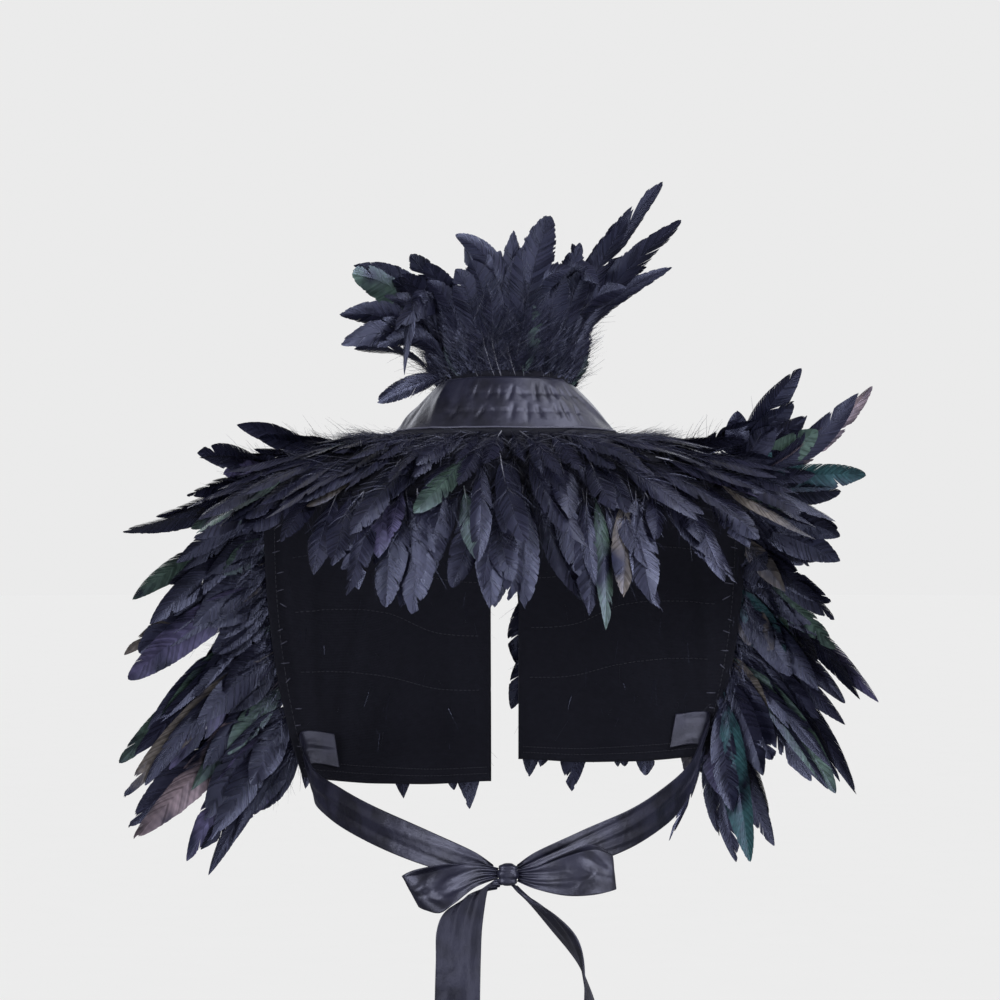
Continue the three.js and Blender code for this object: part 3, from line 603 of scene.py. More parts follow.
@frozen
class FeatherFinish:
    """Glossy black feather. The paint layer holds glint, paleness, barb and the feather's tone.

    A patches field is a noise's scale and detail, with the values that become 0 and 1. The
    fields bar_share, barb_shade and roughness are a factor and an offset.
    """
    night: Triple = (0.0045, 0.0048, 0.0100)
    dusk: Triple = (0.011, 0.012, 0.029)
    quill: Triple = (0.42, 0.42, 0.48)
    # glints: the colours of the painted iridescent sheen, one for each Glint.
    glints: tuple[Triple, ...] = (
        (0.012, 0.012, 0.024), (0.056, 0.090, 0.072), (0.030, 0.084, 0.092),
        (0.070, 0.062, 0.125), (0.118, 0.102, 0.090), (0.235, 0.180, 0.200))
    dusk_patches: Four = (48, 3, 0.4, 0.75)
    tone_power: float = 1.6
    glint_patches: Four = (34, 2, 0.32, 0.54)
    bars: float = 1150.0
    bar_share: Pair = (0.1, 0.85)
    barb_shade: Pair = (0.7, 0.62)
    barb_slant: float = 1.35
    barb_waves: float = 5654.7
    grain: Pair = (900, 2)
    grain_share: float = 0.8
    relief: Pair = (0.00005, 0.75)
    roughness: Pair = (0.16, 0.20)
    gloss_level: float = 0.50
    gloss_tint: Four = (0.66, 0.70, 1.0, 1)

    def build(self) -> Material:
        """Night and dusk mixed by tone and noise, then glints in barred patches and the quill."""
        bench = NodeBench("feather_black")
        paint = bench.add("ShaderNodeAttribute", attribute_name="paint", attribute_type="GEOMETRY")
        parts = bench.add("ShaderNodeSeparateColor", {"Color": paint.outputs["Color"]})
        glint, pale, barb = parts.outputs[0], parts.outputs[1], parts.outputs[2]
        aside, along = bench.uv_parts()
        tone = bench.sum("POWER", paint.outputs["Alpha"], self.tone_power)
        lighter = bench.sum("MULTIPLY", bench.patches(*self.dusk_patches), tone)
        ground = bench.blend(lighter, self.night, self.dusk)
        # The glint is painted iridescent sheen in the base colour: it shows by how far its patch has
        # come, and in faint bars.
        stops = [((k + 0.02) / len(self.glints), c) for k, c in enumerate(self.glints)]
        barred = bench.scaled(bench.wave(along, self.bars), *self.bar_share)
        share = bench.sum("MULTIPLY", bench.patches(*self.glint_patches), barred)
        tinted = bench.blend(share, ground, bench.steps(glint, stops))
        # Each barb is a little lighter or darker than the next, and rougher or smoother.
        shade = bench.scaled(barb, *self.barb_shade)
        shaded = bench.add("ShaderNodeVectorMath", {0: tinted, 1: shade}, operation="MULTIPLY")
        bench.set(Base_Color=bench.blend(pale, shaded.outputs[0], self.quill),
                  Roughness=bench.scaled(barb, *self.roughness),
                  Specular_IOR_Level=self.gloss_level, Specular_Tint=self.gloss_tint)
        slant = bench.sum("MULTIPLY", bench.sum("ABSOLUTE", aside), self.barb_slant)
        line = bench.wave(bench.sum("SUBTRACT", along, slant), self.barb_waves)
        bench.bump(bench.scaled(bench.noise(*self.grain), self.grain_share, line), *self.relief)
        return bench.material


@frozen
class SatinFinish:
    """Black satin with a lilac-grey sheen and a fine weave across the ribbon."""
    # dark is the satin's black; light is the lilac-grey of its painted sheen, laid in large patches for
    # reflections on gentle folds.
    dark: Triple = (0.0020, 0.0020, 0.0050)
    light: Triple = (0.0090, 0.0090, 0.0180)
    light_patches: Four = (42, 2, 0.42, 0.6)
    warp: float = 15000.0
    weft: float = 9000.0
    weft_share: float = 0.5
    weave_share: float = 0.1
    crush: Pair = (60, 3)
    crush_share: float = 14.0
    relief: Pair = (0.00010, 0.9)
    rough_noise: Pair = (40, 2)
    roughness: Pair = (0.10, 0.33)

    def build(self) -> Material:
        """Black and a soft lilac-grey of painted sheen in large patches, over a fine rib that follows
        the UV map.
        """
        bench = NodeBench("satin_black")
        along, across = bench.uv_parts()
        weft = bench.sum("MULTIPLY", bench.wave(across, self.weft), self.weft_share)
        weave = bench.sum("ADD", bench.wave(along, self.warp), weft)
        thread = bench.sum("MULTIPLY", weave, self.weave_share)
        bench.bump(bench.scaled(bench.noise(*self.crush), self.crush_share, thread), *self.relief)
        # Painted sheen: lilac-grey patches in the base colour.
        bench.set(Base_Color=bench.blend(bench.patches(*self.light_patches), self.dark, self.light),
                  Roughness=bench.scaled(bench.noise(*self.rough_noise), *self.roughness),
                  Specular_IOR_Level=0.5, Specular_Tint=(0.80, 0.80, 1.0, 1),
                  Sheen_Weight=0.08, Sheen_Roughness=0.3, Sheen_Tint=(0.55, 0.55, 0.78, 1))
        return bench.material


@frozen
class KnitFinish:
    """Matt black knit: wales down the cloth and courses across it."""
    dark: Triple = (0.0035, 0.0035, 0.0065)
    light: Triple = (0.010, 0.010, 0.016)
    wale: float = 4300.0
    course: float = 5200.0
    course_share: float = 0.4
    shade: Pair = (260, 5)
    fluff: Pair = (700, 3)
    fluff_share: float = 1.6
    relief: Pair = (0.00022, 0.9)

    def build(self) -> Material:
        """Stitches as the sum of two waves in the UV map, with a little fluff on top."""
        bench = NodeBench("knit_black")
        across, down = bench.uv_parts()
        course = bench.sum("MULTIPLY", bench.wave(down, self.course), self.course_share)
        stitch = bench.sum("ADD", bench.sum("ABSOLUTE", bench.wave(across, self.wale)), course)
        share = bench.sum("MULTIPLY", bench.noise(*self.shade), stitch)
        bench.bump(bench.scaled(bench.noise(*self.fluff), self.fluff_share, stitch), *self.relief)
        bench.set(Base_Color=bench.blend(share, self.dark, self.light), Roughness=0.88,
                  Specular_IOR_Level=0.12, Sheen_Weight=0.03, Sheen_Roughness=0.5,
                  Sheen_Tint=(0.5, 0.5, 0.62, 1))
        return bench.material


@frozen
class ThreadFinish:
    """Sewing thread: one colour with a twist."""
    name: str = "thread_black"
    colour: Triple = (0.016, 0.016, 0.024)
    roughness: float = 0.5
    dark_share: float = 0.6
    shade: Pair = (900, 2)
    twist: Pair = (2600, 1)
    relief: Pair = (0.0001, 0.6)

    def build(self) -> Material:
        """The colour, a little lighter and darker by noise, over a fine twist."""
        bench = NodeBench(self.name)
        dark = tuple(self.dark_share * c for c in self.colour)
        bench.set(Base_Color=bench.blend(bench.noise(*self.shade), dark, self.colour),
                  Roughness=self.roughness, Specular_IOR_Level=0.3)
        bench.bump(bench.noise(*self.twist), *self.relief)
        return bench.material


@frozen
class Finishes:
    """The cape's materials."""
    feather: Material
    satin: Material
    knit: Material
    thread: Material
    pale_thread: Material

    @classmethod
    def made(cls) -> "Finishes":
        """Every finish, built once."""
        # The pale thread also paints light: a highlight on the neckband's rolled edge and glints on the
        # quill ends.
        pale = ThreadFinish("thread_pale", (0.07, 0.07, 0.10), 0.45)
        return cls(FeatherFinish().build(), SatinFinish().build(), KnitFinish().build(),
                   ThreadFinish().build(), pale.build())


# Feathers

@dataclass
class Plumes:
    """Many feathers as arrays, one row each, in millimetres."""
    root: Array
    knee: Array
    tip: Array
    face: Array
    width: Array
    glint: Array
    twist: Array
    point: Array
    tone: Array


@frozen
class VaneForm:
    """How a feather is put together: its shaft, its barbs and the down at its base."""
    barbs: int = 40
    vane_start: float = 0.10
    sweep: float = 0.17
    camber: float = 0.2
    ragged: float = 0.03
    shingle: float = 0.11
    splits: int = 2
    shaft_radius: float = 0.55
    quill_end: float = 0.26
    down: int = 46
    down_end: float = 0.45
    down_length: float = 20.0
    down_width: float = 0.2
    pale_hairs: float = 0.06
    last_barb: float = 0.93
    barb_stations: Floats = (0.0, 0.36, 0.72, 1.0)
    barb_forward: float = 1.2
    barb_fill: float = 0.62
    barb_taper: float = 0.12
    split_width: float = 0.05
    notch_width: float = 0.012
    shaft_stations: Floats = (0, 0.1, 0.22, 0.36, 0.5, 0.66, 0.82, 0.99)
    shaft_taper: float = 0.82
    usual_width: float = 21.0
    seed: float = 1.0

    def path(self, plumes: Plumes, t: Array) -> tuple[Array, Array, Array, Array]:
        """Each feather's centre line with its frame.

        The line is a quadratic curve through root, knee and tip. The direction across is the
        slope crossed with the face, turned about the slope by the feather's twist.

        Args:
            plumes: the feathers.
            t: shares along them, with one row for each feather.
        Returns:
            The points, slopes, directions across, and directions off the face.
        """
        more = (slice(None),) + (None,) * (t.ndim - 1)
        a, b, c, f = (x[more] for x in (plumes.root, plumes.knee, plumes.tip, plumes.face))
        s = t[..., None]
        p = (1 - s) ** 2 * a + 2 * s * (1 - s) * b + s * s * c
        slope = unit(2 * (1 - s) * (b - a) + 2 * s * (c - b))
        across = unit(np.cross(slope, f))
        off = np.cross(across, slope)
        turn = plumes.twist[more] * t
        wide = np.cos(turn)[..., None] * across + np.sin(turn)[..., None] * off
        return p, slope, wide, np.cross(wide, slope)

    def vane_width(self, t: Array, point: Array) -> Array:
        """Half the vane's width as a share: 0.3 (1 - s) + 0.92 sin(pi s^(1.6 - point / 2))^point.

        A point of 0.5 gives a broad round tip and 1 gives a sharp one.
        """
        s = np.clip((t - self.vane_start) / (1 - self.vane_start), 0, 1)
        return 0.3 * (1 - s) + 0.92 * np.maximum(np.sin(np.pi * s ** (1.6 - 0.5 * point)), 0) ** point

    def vanes(self, plumes: Plumes) -> MeshParts:
        """The barbs of every feather: narrow strips that leave the shaft on both sides.

        A barb leaves the shaft at start, its end lies on the outline at end, and between them
        it runs forwards by q^1.2 and out by q, for q from 0 to 1. Here and there the barbs
        part: their ends move away from a split by a bell curve, which leaves a notch. Each
        strip is tilted a little, like a shingle, and narrows to its end.
        """
        n, b = len(plumes.width), self.barbs
        feather = np.arange(n)[:, None, None]
        side = np.array([-1.0, 1.0])[None, :, None]
        share = np.linspace(0, 1, b)[None, None, :] + np.zeros((n, 2, 1))
        key = feather * 7.13 + side * 3.7 + np.arange(b)[None, None, :] * 1.37 + self.seed
        push, short = self.splits_at(feather, side, mix(self.vane_start, self.last_barb, share))
        rag = self.ragged * (0.5 + 1.3 * chance(feather * 4.7 + self.seed))
        reach = (short * (1 - rag * chance(key) ** 2))[..., None, None]
        q = np.array(self.barb_stations)
        half = self.barb_fill / (b - 1) * (1 - self.barb_taper * q ** 4)
        edge = share[..., None, None] + half[:, None] * np.array([-1, 1])
        start = mix(self.vane_start, self.last_barb, edge)
        end = np.minimum(mix(self.vane_start + self.sweep, 1.0, edge), 1)
        q = q[:, None]
        t = start + (end - start + push[..., None, None]) * reach * q ** self.barb_forward
        half_width = per_feather(plumes.width, t) / 2
        out = q * reach * self.vane_width(end, per_feather(plumes.point, t)) * half_width
        p, _, wide, off = self.path(plumes, t)
        camber = -self.camber * out ** 2 / half_width
        ripple = 0.9 * np.sin(9 * t + 6 * chance(feather)[..., None, None]) * out / half_width
        lean = 0.05 * (chance(key + 0.5) - 0.5)[..., None, None] * out
        shingle = self.shingle * np.array([-1, 1]) * np.minimum(1, out / 2)
        height = camber + ripple + lean + shingle
        aside = side[..., None, None] * out
        points = p + wide * aside[..., None] + off * height[..., None]
        quads = grid_faces(np.arange(n * 2 * b * 8).reshape(n, 2, b, 4, 2))
        quads[:, 0] = quads[:, 0, ..., ::-1].copy()
        length = per_feather(np.linalg.norm(plumes.tip - plumes.root, axis=-1), t)
        uv = np.stack([aside * MM, t * length * MM], -1)
        barb = chance(key)[..., None, None] + np.zeros_like(t)
        paint = np.stack([per_feather(plumes.glint, t), np.zeros_like(t), barb,
                          per_feather(plumes.tone, t)], -1)
        return mesh_of(points, quads, uv, paint)

    def splits_at(self, feather: Array, side: Array, start: Array) -> tuple[Array, Array]:
        """Where the barbs part.

        Args:
            feather: each feather's number.
            side: each side of the shaft, as -1 or 1.
            start: where each barb leaves the shaft.
        Returns:
            How far each barb is pushed along, as a share of the feather, and the share of its
            length that is left.
        """
        push, short = np.zeros_like(start), np.ones_like(start)
        for k in range(self.splits):
            spot = mix(0.35, 0.97, chance(feather * 3.31 + side * 1.9 + k * 5.7 + self.seed))
            depth = np.maximum(0, chance(feather * 1.77 + side + k * 2.3 + self.seed) - 0.25) * 1.3
            gap = start - spot
            push = push + np.sign(gap) * depth * 0.03 * np.exp(-(gap / self.split_width) ** 2)
            short = short * (1 - 0.4 * depth * np.exp(-(gap / self.notch_width) ** 2))
        return push, short

    def shafts(self, plumes: Plumes) -> MeshParts:
        """Three-sided shafts that thin to a point, pale below the vane."""
        n, stations = len(plumes.width), np.array(self.shaft_stations)
        t = stations + np.zeros((n, 1))
        p, _, wide, off = self.path(plumes, t)
        radius = self.shaft_radius * (1 - self.shaft_taper * stations)[None, :, None]
        angle = np.radians([90, 210, 330])
        ring = [p + wide * (radius * np.cos(a)) + off * (radius * np.sin(a) + 0.25) for a in angle]
        index = np.arange(n * len(stations) * 3).reshape(n, len(stations), 3)
        ends = np.concatenate([index[:, 0], index[:, -1, ::-1]])
        share = 1 - smoothstep(t, 0.5 * self.quill_end, self.quill_end)
        bare = (chance(np.arange(n) * 2.9 + self.seed) ** 8)[:, None]
        pale = (share * bare)[..., None] + np.zeros((1, 1, 3))
        paint = np.stack([per_feather(plumes.glint, pale), pale, np.full_like(pale, 0.5),
                          per_feather(plumes.tone, pale)], -1)
        uv = np.stack([np.zeros_like(pale), t[..., None] * 0.1 + np.zeros_like(pale)], -1)
        return mesh_of(np.stack(ring, 2), ring_faces(index), uv, paint, ends)

    def fluff(self, plumes: Plumes) -> MeshParts:
        """Strands of down on the lower part of each shaft.

        A strand is root + length (q d + q^2 bend), with d a mix of across, off the face and
        along, and bend a mix of along, down and chance.
        """
        n, m = len(plumes.width), self.down
        key = np.arange(n)[:, None] * 11.3 + np.arange(m)[None, :] * 2.17 + self.seed
        t = 0.02 + (self.down_end - 0.02) * chance(key) ** 1.2
        p, slope, wide, off = self.path(plumes, t)
        around = np.pi * (2 * chance(key + 1) - 1)
        direction = unit(wide * np.cos(around)[..., None] + off * (0.55 * np.sin(around))[..., None]
                         + slope * (0.35 + 0.7 * chance(key + 2))[..., None])
        wild = np.stack([jitter(key + k, 0.5) for k in (3, 4, 5)], -1)
        bend = 0.5 * slope - 0.22 * UP + wild
        size = (plumes.width / self.usual_width)[:, None]
        length = (self.down_length * (0.45 + 0.75 * chance(key + 6)) * size)[..., None, None]
        q = np.array([0, 0.4, 0.75, 1.0])[None, None, :, None]
        line = p[:, :, None] + length * (q * direction[:, :, None] + q * q * 0.55 * bend[:, :, None])
        sideways = unit(np.cross(direction, wild + 0.3 * off))[:, :, None]
        thin = self.down_width * (1 - 0.75 * q)
        points = np.stack([line - sideways * thin, line + sideways * thin], 3)
        flat = np.zeros((n, m, 4, 2))
        hair = np.where(chance(key + 8) < self.pale_hairs, 0.13, 0.0)[..., None, None] + flat
        shade = flat + chance(key)[..., None, None]
        paint = np.stack([flat + Glint.NIGHT.place, hair, shade, 0.4 * shade], -1)
        uv = np.stack([flat, flat + 0.01 * q[..., 0][..., None]], -1)
        return mesh_of(points, grid_faces(np.arange(n * m * 8).reshape(n, m, 4, 2)), uv, paint)

    def build(self, plumes: Plumes) -> MeshParts:
        """Every feather's vane, shaft and down as one mesh."""
        return all_joined([self.vanes(plumes), self.shafts(plumes), self.fluff(plumes)])


def plumes_from(root: Array, tip: Array, face: Array, width: Array, arch: Array, sway: Array,
                glint: Array, seed: float, off: Optional[Array] = None,
                point: Optional[Array] = None) -> Plumes:
    """Feathers from where they start and end.

    The knee is half way, moved by arch off the cloth and by sway up, both as shares of the
    length.

    Args:
        root: starting points in millimetres.
        tip: end points.
        face: the way that their good side faces.
        width: full widths.
        arch: bow off the cloth.
        sway: bow upwards.
        glint: places on the ramp of glints.
        seed: turns the chances over.
        off: the way off the cloth, if it isn't the face.
        point: how sharp the tips are, from 0.5 to 1. They vary if it isn't given.
    Returns:
        The feathers.
    """
    n = len(root)
    length = np.linalg.norm(tip - root, axis=-1, keepdims=True)
    each = partial(np.broadcast_to, shape=(n,))
    key = np.arange(n) * 3.3 + seed
    aside = np.cross(tip - root, face) * jitter(key + 1, 0.09)[:, None]
    bow = (face if off is None else off) * each(arch)[:, None] * length
    knee = (root + tip) / 2 + bow + UP * each(sway)[:, None] * length + aside
    if point is None:
        point = mix(0.55, 0.95, chance(key + 2))
    return Plumes(root, knee, tip, unit(face), each(width), each(glint), jitter(key, 0.45),
                  each(point), chance(key + 3))


def usual_glints(n: int, seed: float, bright: float = 0.42) -> Array:
    """Glints for a row of feathers: most stay night black, the rest take a colour by chance."""
    pick = chance(np.arange(n) * 5.1 + seed)
    kinds = np.array([Glint.GREEN, Glint.TEAL, Glint.PURPLE, Glint.GREEN, Glint.BRONZE])
    which = (chance(np.arange(n) * 8.7 + seed + 3) * len(kinds)).astype(int)
    places = np.array([k.place for k in kinds])[which]
    return np.where(pick < bright, places, Glint.NIGHT.place)


def on_cloth(surface: Surface, core: Array, place: Place, inside: bool = False) -> Rail:
    """A line on a cloth surface.

    Args:
        surface: the cloth.
        core: a point inside the cape.
        place: the surface's two shares for a share along the line.
        inside: whether it lies on the knit's inner face, one wall in.
    Returns:
        A function from a share along the line to the point there, the way off the cloth, and
        the way that feathers face.
    """
    def read(s: Array) -> tuple[Array, Array, Array]:
        """The line at the shares s."""
        u, v = place(np.asarray(s, float))
        normal = normals(surface, u, v, core)
        if inside:
            return surface(u, v) - normal * KNIT_WALL, -normal, -normal
        return surface(u, v), normal, normal
    return read


def across_at(line: float, start: float = 0, end: float = 1) -> Place:
    """The way across a cloth from start to end, at one share of the way down."""
    return lambda s: (mix(start, end, s), np.full_like(s, line))


def down_at(line: float, start: float, end: float) -> Place:
    """The way down a cloth from start to end, at one share of the way across."""
    return lambda s: (np.full_like(s, line), mix(start, end, s))


@frozen
class Hero:
    """A feather that shows well: where its tape holds it and where its tip is, in millimetres."""
    at: float
    tip: Triple
    width: float
    arch: float = 0.0
    sway: float = 0.05
    point: float = 0.75
    aside: float = 0.0
    glint: Glint = Glint.NIGHT


def hero_plumes(heroes: Sequence[Hero], rail: Rail, lift: float, fillers: int, seed: float,
                spread: float = 15.0) -> Plumes:
    """The heroes of a row, each with a few shorter feathers close to it.

    Args:
        heroes: the row's heroes.
        rail: the tape's line.
        lift: the roots' height off the cloth.
        fillers: how many feathers go with each hero.
        seed: turns the chances over.
        spread: how far the fillers' tips stray, in millimetres.
    Returns:
        The feathers.
    """
    copies = 1 + fillers
    table = [(h.at, h.width, h.arch, h.sway, h.point, h.aside, h.glint.place) for h in heroes]
    at, width, arch, sway, sharp, bow, glint = np.repeat(np.array(table, float), copies, axis=0).T
    tips = np.repeat(np.array([h.tip for h in heroes], float), copies, axis=0)
    n = len(at)
    extra = np.tile(np.arange(copies), len(heroes)) > 0
    key = np.arange(n) + seed
    at = np.clip(at + np.where(extra, jitter(key, 0.03), 0), 0.005, 0.995)
    point, normal, face = rail(at)
    root = point + normal * lift
    share = np.where(extra, 0.70 + 0.24 * chance(key + 80), 1.0)[:, None]
    tips = root + (tips - root) * share + np.where(extra[:, None], strays(key, spread, 0.8), 0)
    width = width * np.where(extra, 0.72 + 0.35 * chance(key + 9), 1)
    glint = np.where(extra & (chance(key + 33) < 0.6), Glint.NIGHT.place, glint)
    sharp = sharp + np.where(extra, jitter(key + 70, 0.15), 0)
    plumes = plumes_from(root, tips, face, width, arch + 0.02, sway, glint, seed, normal, sharp)
    bow = bow * np.linalg.norm(tips - root, axis=-1)
    knee = plumes.knee + unit(np.cross(UP, face)) * bow[:, None]
    # The heroes' tone varies by chance but is lifted to 0.65 and above: that lift is painted sheen, for
    # the silvery sheen of the feathers that show best.
    return replace(plumes, knee=knee, tone=0.65 + 0.35 * plumes.tone)


def between_plumes(heroes: Sequence[Hero], rail: Rail, lift: float, count: int,
                   share: Pair, width: float, seed: float,
                   spread: float = 12.0) -> Plumes:
    """Shorter feathers that fill a row between its heroes and cover where they start.

    Args:
        heroes: the row's heroes, in order along the tape.
        rail: the tape's line.
        lift: the roots' height off the cloth.
        count: how many feathers.
        share: the shortest and longest, as shares of the reach that the heroes have there.
        width: their usual width.
        seed: turns the chances over.
        spread: how far their tips stray, in millimetres.
    Returns:
        The feathers.
    """
    k = np.arange(count)
    at = np.clip((k + 0.5 + jitter(k + seed, 0.45)) / count, 0.005, 0.995)
    point, normal, face = rail(at)
    places = [h.at for h in heroes]
    tip = np.stack([np.interp(at, places, [h.tip[axis] for h in heroes]) for axis in range(3)], -1)
    root = point + normal * lift
    reach = mix(share[0], share[1], chance(k * 1.7 + seed + 80))[:, None]
    tip = root + (tip - root) * reach + strays(k + seed, spread)
    wide = width * (1 + jitter(k + seed + 90, 0.22))
    glint = usual_glints(count, seed, 0.15)
    return plumes_from(root, tip, face, wide, 0.05, 0.04, glint, seed, normal)


def row_plumes(rail: Rail, aim: Callable[[Array, Array], Array],
               count: int, length: float, width: float, lift: float, seed: float,
               stand: float = 2.0, arch: float = 0.05, bright: float = 0.15,
               vary: float = 0.2) -> Plumes:
    """An even row in two layers, each feather laid along the cloth the way aim gives.

    Args:
        rail: the tape's line.
        aim: gives the way that feathers point there, for a share and a feather's number.
        count: how many feathers.
        length: their usual length.
        width: their usual width.
        lift: their angle off the cloth in degrees.
        seed: turns the chances over.
        stand: the roots' height off the cloth.
        arch: bow off the cloth as a share of the length.
        bright: the share of feathers that show a glint.
        vary: how much their lengths and ways stray.
    Returns:
        The feathers.
    """
    k = np.arange(count)
    at = np.clip((k + 0.5 + jitter(k + seed, 0.25)) / count, 0, 1)
    point, normal, face = rail(at)
    way = unit(aim(at, k))
    way = way - np.sum(way * normal, -1, keepdims=True) * normal
    way = unit(way + np.cross(normal, way) * jitter(k + seed + 7, 1.1 * vary)[:, None])
    angle = np.radians(lift + np.where(k % 2, 3.5, -2.0) + jitter(k + seed + 3, 3.0))[:, None]
    long = (length * (1 + jitter(k + seed + 50, vary)))[:, None]
    root = point + normal * (stand + (k % 2)[:, None])
    tip = root + long * (way * np.cos(angle) + normal * np.sin(angle))
    wide = width * (1 + jitter(k + seed + 90, 0.18))
    glint = usual_glints(count, seed, bright)
    return plumes_from(root, tip, face, wide, arch, 0, glint, seed, normal)


# The cape's pieces


def facing_out(parts: MeshParts) -> MeshParts:
    """The same closed mesh with its faces outwards, turned over if its signed volume is below 0."""
    q, t, p = parts.quads, parts.triangles, parts.points
    faces = np.concatenate([q[:, [0, 1, 2]], q[:, [0, 2, 3]], t])
    a, b, c = (p[faces[:, k]] for k in range(3))
    if np.sum(a * np.cross(b, c)) >= 0:
        return parts
    return replace(parts, quads=q[:, ::-1], triangles=t[:, ::-1])


def rods(path: Array, off: Array, radius: Array, sides: int = 6) -> MeshParts:
    """Closed rods carried along many paths at once.

    A ring of points, path + r (side cos a + off sin a), stands at each station, with side the
    slope crossed with off.

    Args:
        path: points in millimetres, shaped (rods, stations, 3).
        off: a direction across each path, of the same shape.
        radius: millimetres, for each station.
        sides: points in a ring.
    Returns:
        One mesh of all rods.
    """
    count, stations = path.shape[:2]
    slope = unit(np.gradient(path, axis=1))
    side = unit(np.cross(slope, off))
    off = np.cross(side, slope)
    angle = np.arange(sides) * 2 * np.pi / sides
    r = np.broadcast_to(radius, (count, stations))[..., None, None]
    ring = side[:, :, None] * np.cos(angle)[:, None] + off[:, :, None] * np.sin(angle)[:, None]
    points = path[:, :, None] + r * ring
    index = np.arange(count * stations * sides).reshape(count, stations, sides)
    fan = np.array([[0, k, k + 1] for k in range(1, sides - 1)])
    caps = np.concatenate([index[:, 0][:, fan].reshape(-1, 3),
                           index[:, -1][:, fan[:, ::-1]].reshape(-1, 3)])
    along = np.cumsum(np.linalg.norm(np.diff(path, axis=1, prepend=path[:, :1]), axis=-1), axis=1)
    uv = np.stack(np.broadcast_arrays(along[..., None], angle * 2.0), -1) * MM
    return facing_out(mesh_of(points, ring_faces(index), uv, triangles=caps))


def stitches(rail: Rail, start: float, end: float, count: int, radius: float, sink: float = 0.1,
             fill: float = 0.68) -> MeshParts:
    """A row of separate stitches along a line on cloth, each a rod that dips in at its ends.

    Args:
        rail: the line, with the way off the cloth.
        start: the share along the line where the row starts.
        end: where it ends.
        count: how many stitches.
        radius: the thread's radius in millimetres.
        sink: how far a stitch's ends are in the cloth, in millimetres.
        fill: the share of a stitch's pitch that its thread covers.
    Returns:
        One mesh of all stitches.
    """
    k = np.arange(count)[:, None]
    step = (end - start) / count
    j = np.linspace(0, 1, 5)[None, :]
    s = start + step * (k + 0.5 + fill * (j - 0.5)) + jitter(k + start, 0.06) * step
    p, n, _ = rail(s)
    hump = np.sin(np.pi * j)[..., None]
    path = p + n * (radius * 0.9 * hump - sink)
    return rods(path, n, radius * (0.65 + 0.35 * np.sin(np.pi * j)), 6)


def tape_strip(rail: Rail, width: float, height: float, lift: float, steps: int = 70) -> MeshParts:
    """A feather tape: a closed strip of four sides along a line on cloth.

    Args:
        rail: the line, with the way off the cloth.
        width: the tape's width in millimetres.
        height: its thickness.
        lift: its distance from the cloth.
        steps: stations along it.
    Returns:
        The strip.
    """
    p, n, _ = rail(np.linspace(0, 1, steps + 1))
    across = unit(np.cross(np.gradient(p, axis=0), n)) * width / 2
    low, high = p + n * lift, p + n * (lift + height)
    points = np.stack([low + across, high + across, high - across, low - across], 1)
    index = np.arange(4 * (steps + 1)).reshape(-1, 4)
    quads = np.concatenate([ring_faces(index), index[:1], index[-1:, ::-1]])
    along = np.cumsum(np.linalg.norm(np.diff(p, axis=0, prepend=p[:1]), axis=-1))
    uv = np.stack(np.broadcast_arrays(along[:, None], np.array([0, 1, width, width + 1])), -1) * MM
    return facing_out(mesh_of(points, quads, uv))


NECKBAND_CREASES = (
    (-0.30, 0.02, -0.23, 0.95, 1.6, 5.0), (-0.20, 0.05, -0.17, 0.9, -1.2, 3.5),
    (-0.13, 0.0, -0.12, 0.95, 1.3, 3.2), (-0.02, 0.2, -0.03, 1.0, 1.1, 9.0),
    (0.08, 0.15, 0.10, 0.98, -1.0, 8.0), (0.20, 0.10, 0.22, 0.98, 1.3, 9.0),
    (0.31, 0.0, 0.43, 0.98, 2.0, 4.2), (0.36, 0.0, 0.50, 0.95, -1.6, 4.0),
    (0.44, 0.05, 0.56, 0.95, 1.5, 4.5), (-0.42, 0.1, -0.36, 0.9, -1.5, 4.0),
    (-0.47, 0.5, -0.40, 0.98, 1.3, 2.6), (-0.55, 0.0, -0.52, 0.9, 1.2, 5.0),
    (0.66, 0.0, 0.63, 0.95, -1.2, 5.0), (0.76, 0.1, 0.72, 0.9, 1.3, 4.5),
    (-0.68, 0.05, -0.71, 0.95, -1.4, 5.0), (-0.82, 0.0, -0.80, 0.95, 1.2, 4.0),
    (0.88, 0.0, 0.9, 0.95, -1.1, 4.0),
)
YOKE_CREASES = (
    (-0.7, 0.1, -0.62, 0.95, 1.0, 7), (-0.35, 0.0, -0.3, 0.9, -0.9, 8),
    (0.05, 0.1, 0.0, 0.95, 0.9, 9), (0.4, 0.0, 0.35, 0.95, -1.0, 8),
    (0.74, 0.1, 0.66, 0.95, 1.0, 7),
)
FRONT_CREASES = (
    (0.55, 0.45, 0.80, 0.93, 1.8, 7), (0.40, 0.62, 0.78, 0.98, -1.4, 7),
    (0.80, 0.35, 0.88, 0.90, -1.6, 6), (0.93, 0.30, 0.93, 0.86, 1.2, 5),
    (0.18, 0.30, 0.24, 0.98, 1.2, 9), (0.05, 0.55, 0.10, 0.99, -1.2, 8),
    (0.62, 0.05, 0.58, 0.45, 1.0, 8),
)
WAIST_CREASES = (
    (0.08, 0.2, 0.45, 0.45, 0.9, 3.5), (0.10, 0.8, 0.5, 0.6, -0.9, 3),
    (0.35, 0.3, 0.85, 0.5, 1.1, 3), (0.5, 0.85, 0.95, 0.55, 0.9, 2.6),
    (0.55, 0.12, 0.95, 0.4, -0.9, 2.6),
)
LOOP_CREASES = (
    (0.08, 0.3, 0.46, 0.42, 1.0, 3), (0.08, 0.72, 0.42, 0.62, -1.0, 3),
    (0.55, 0.3, 0.95, 0.45, 0.9, 3), (0.27, 0.3, 0.39, 0.5, -1.5, 3.2),
    (0.39, 0.5, 0.3, 0.85, -1.5, 3.2), (0.32, 0.08, 0.45, 0.5, 1.3, 3),
)
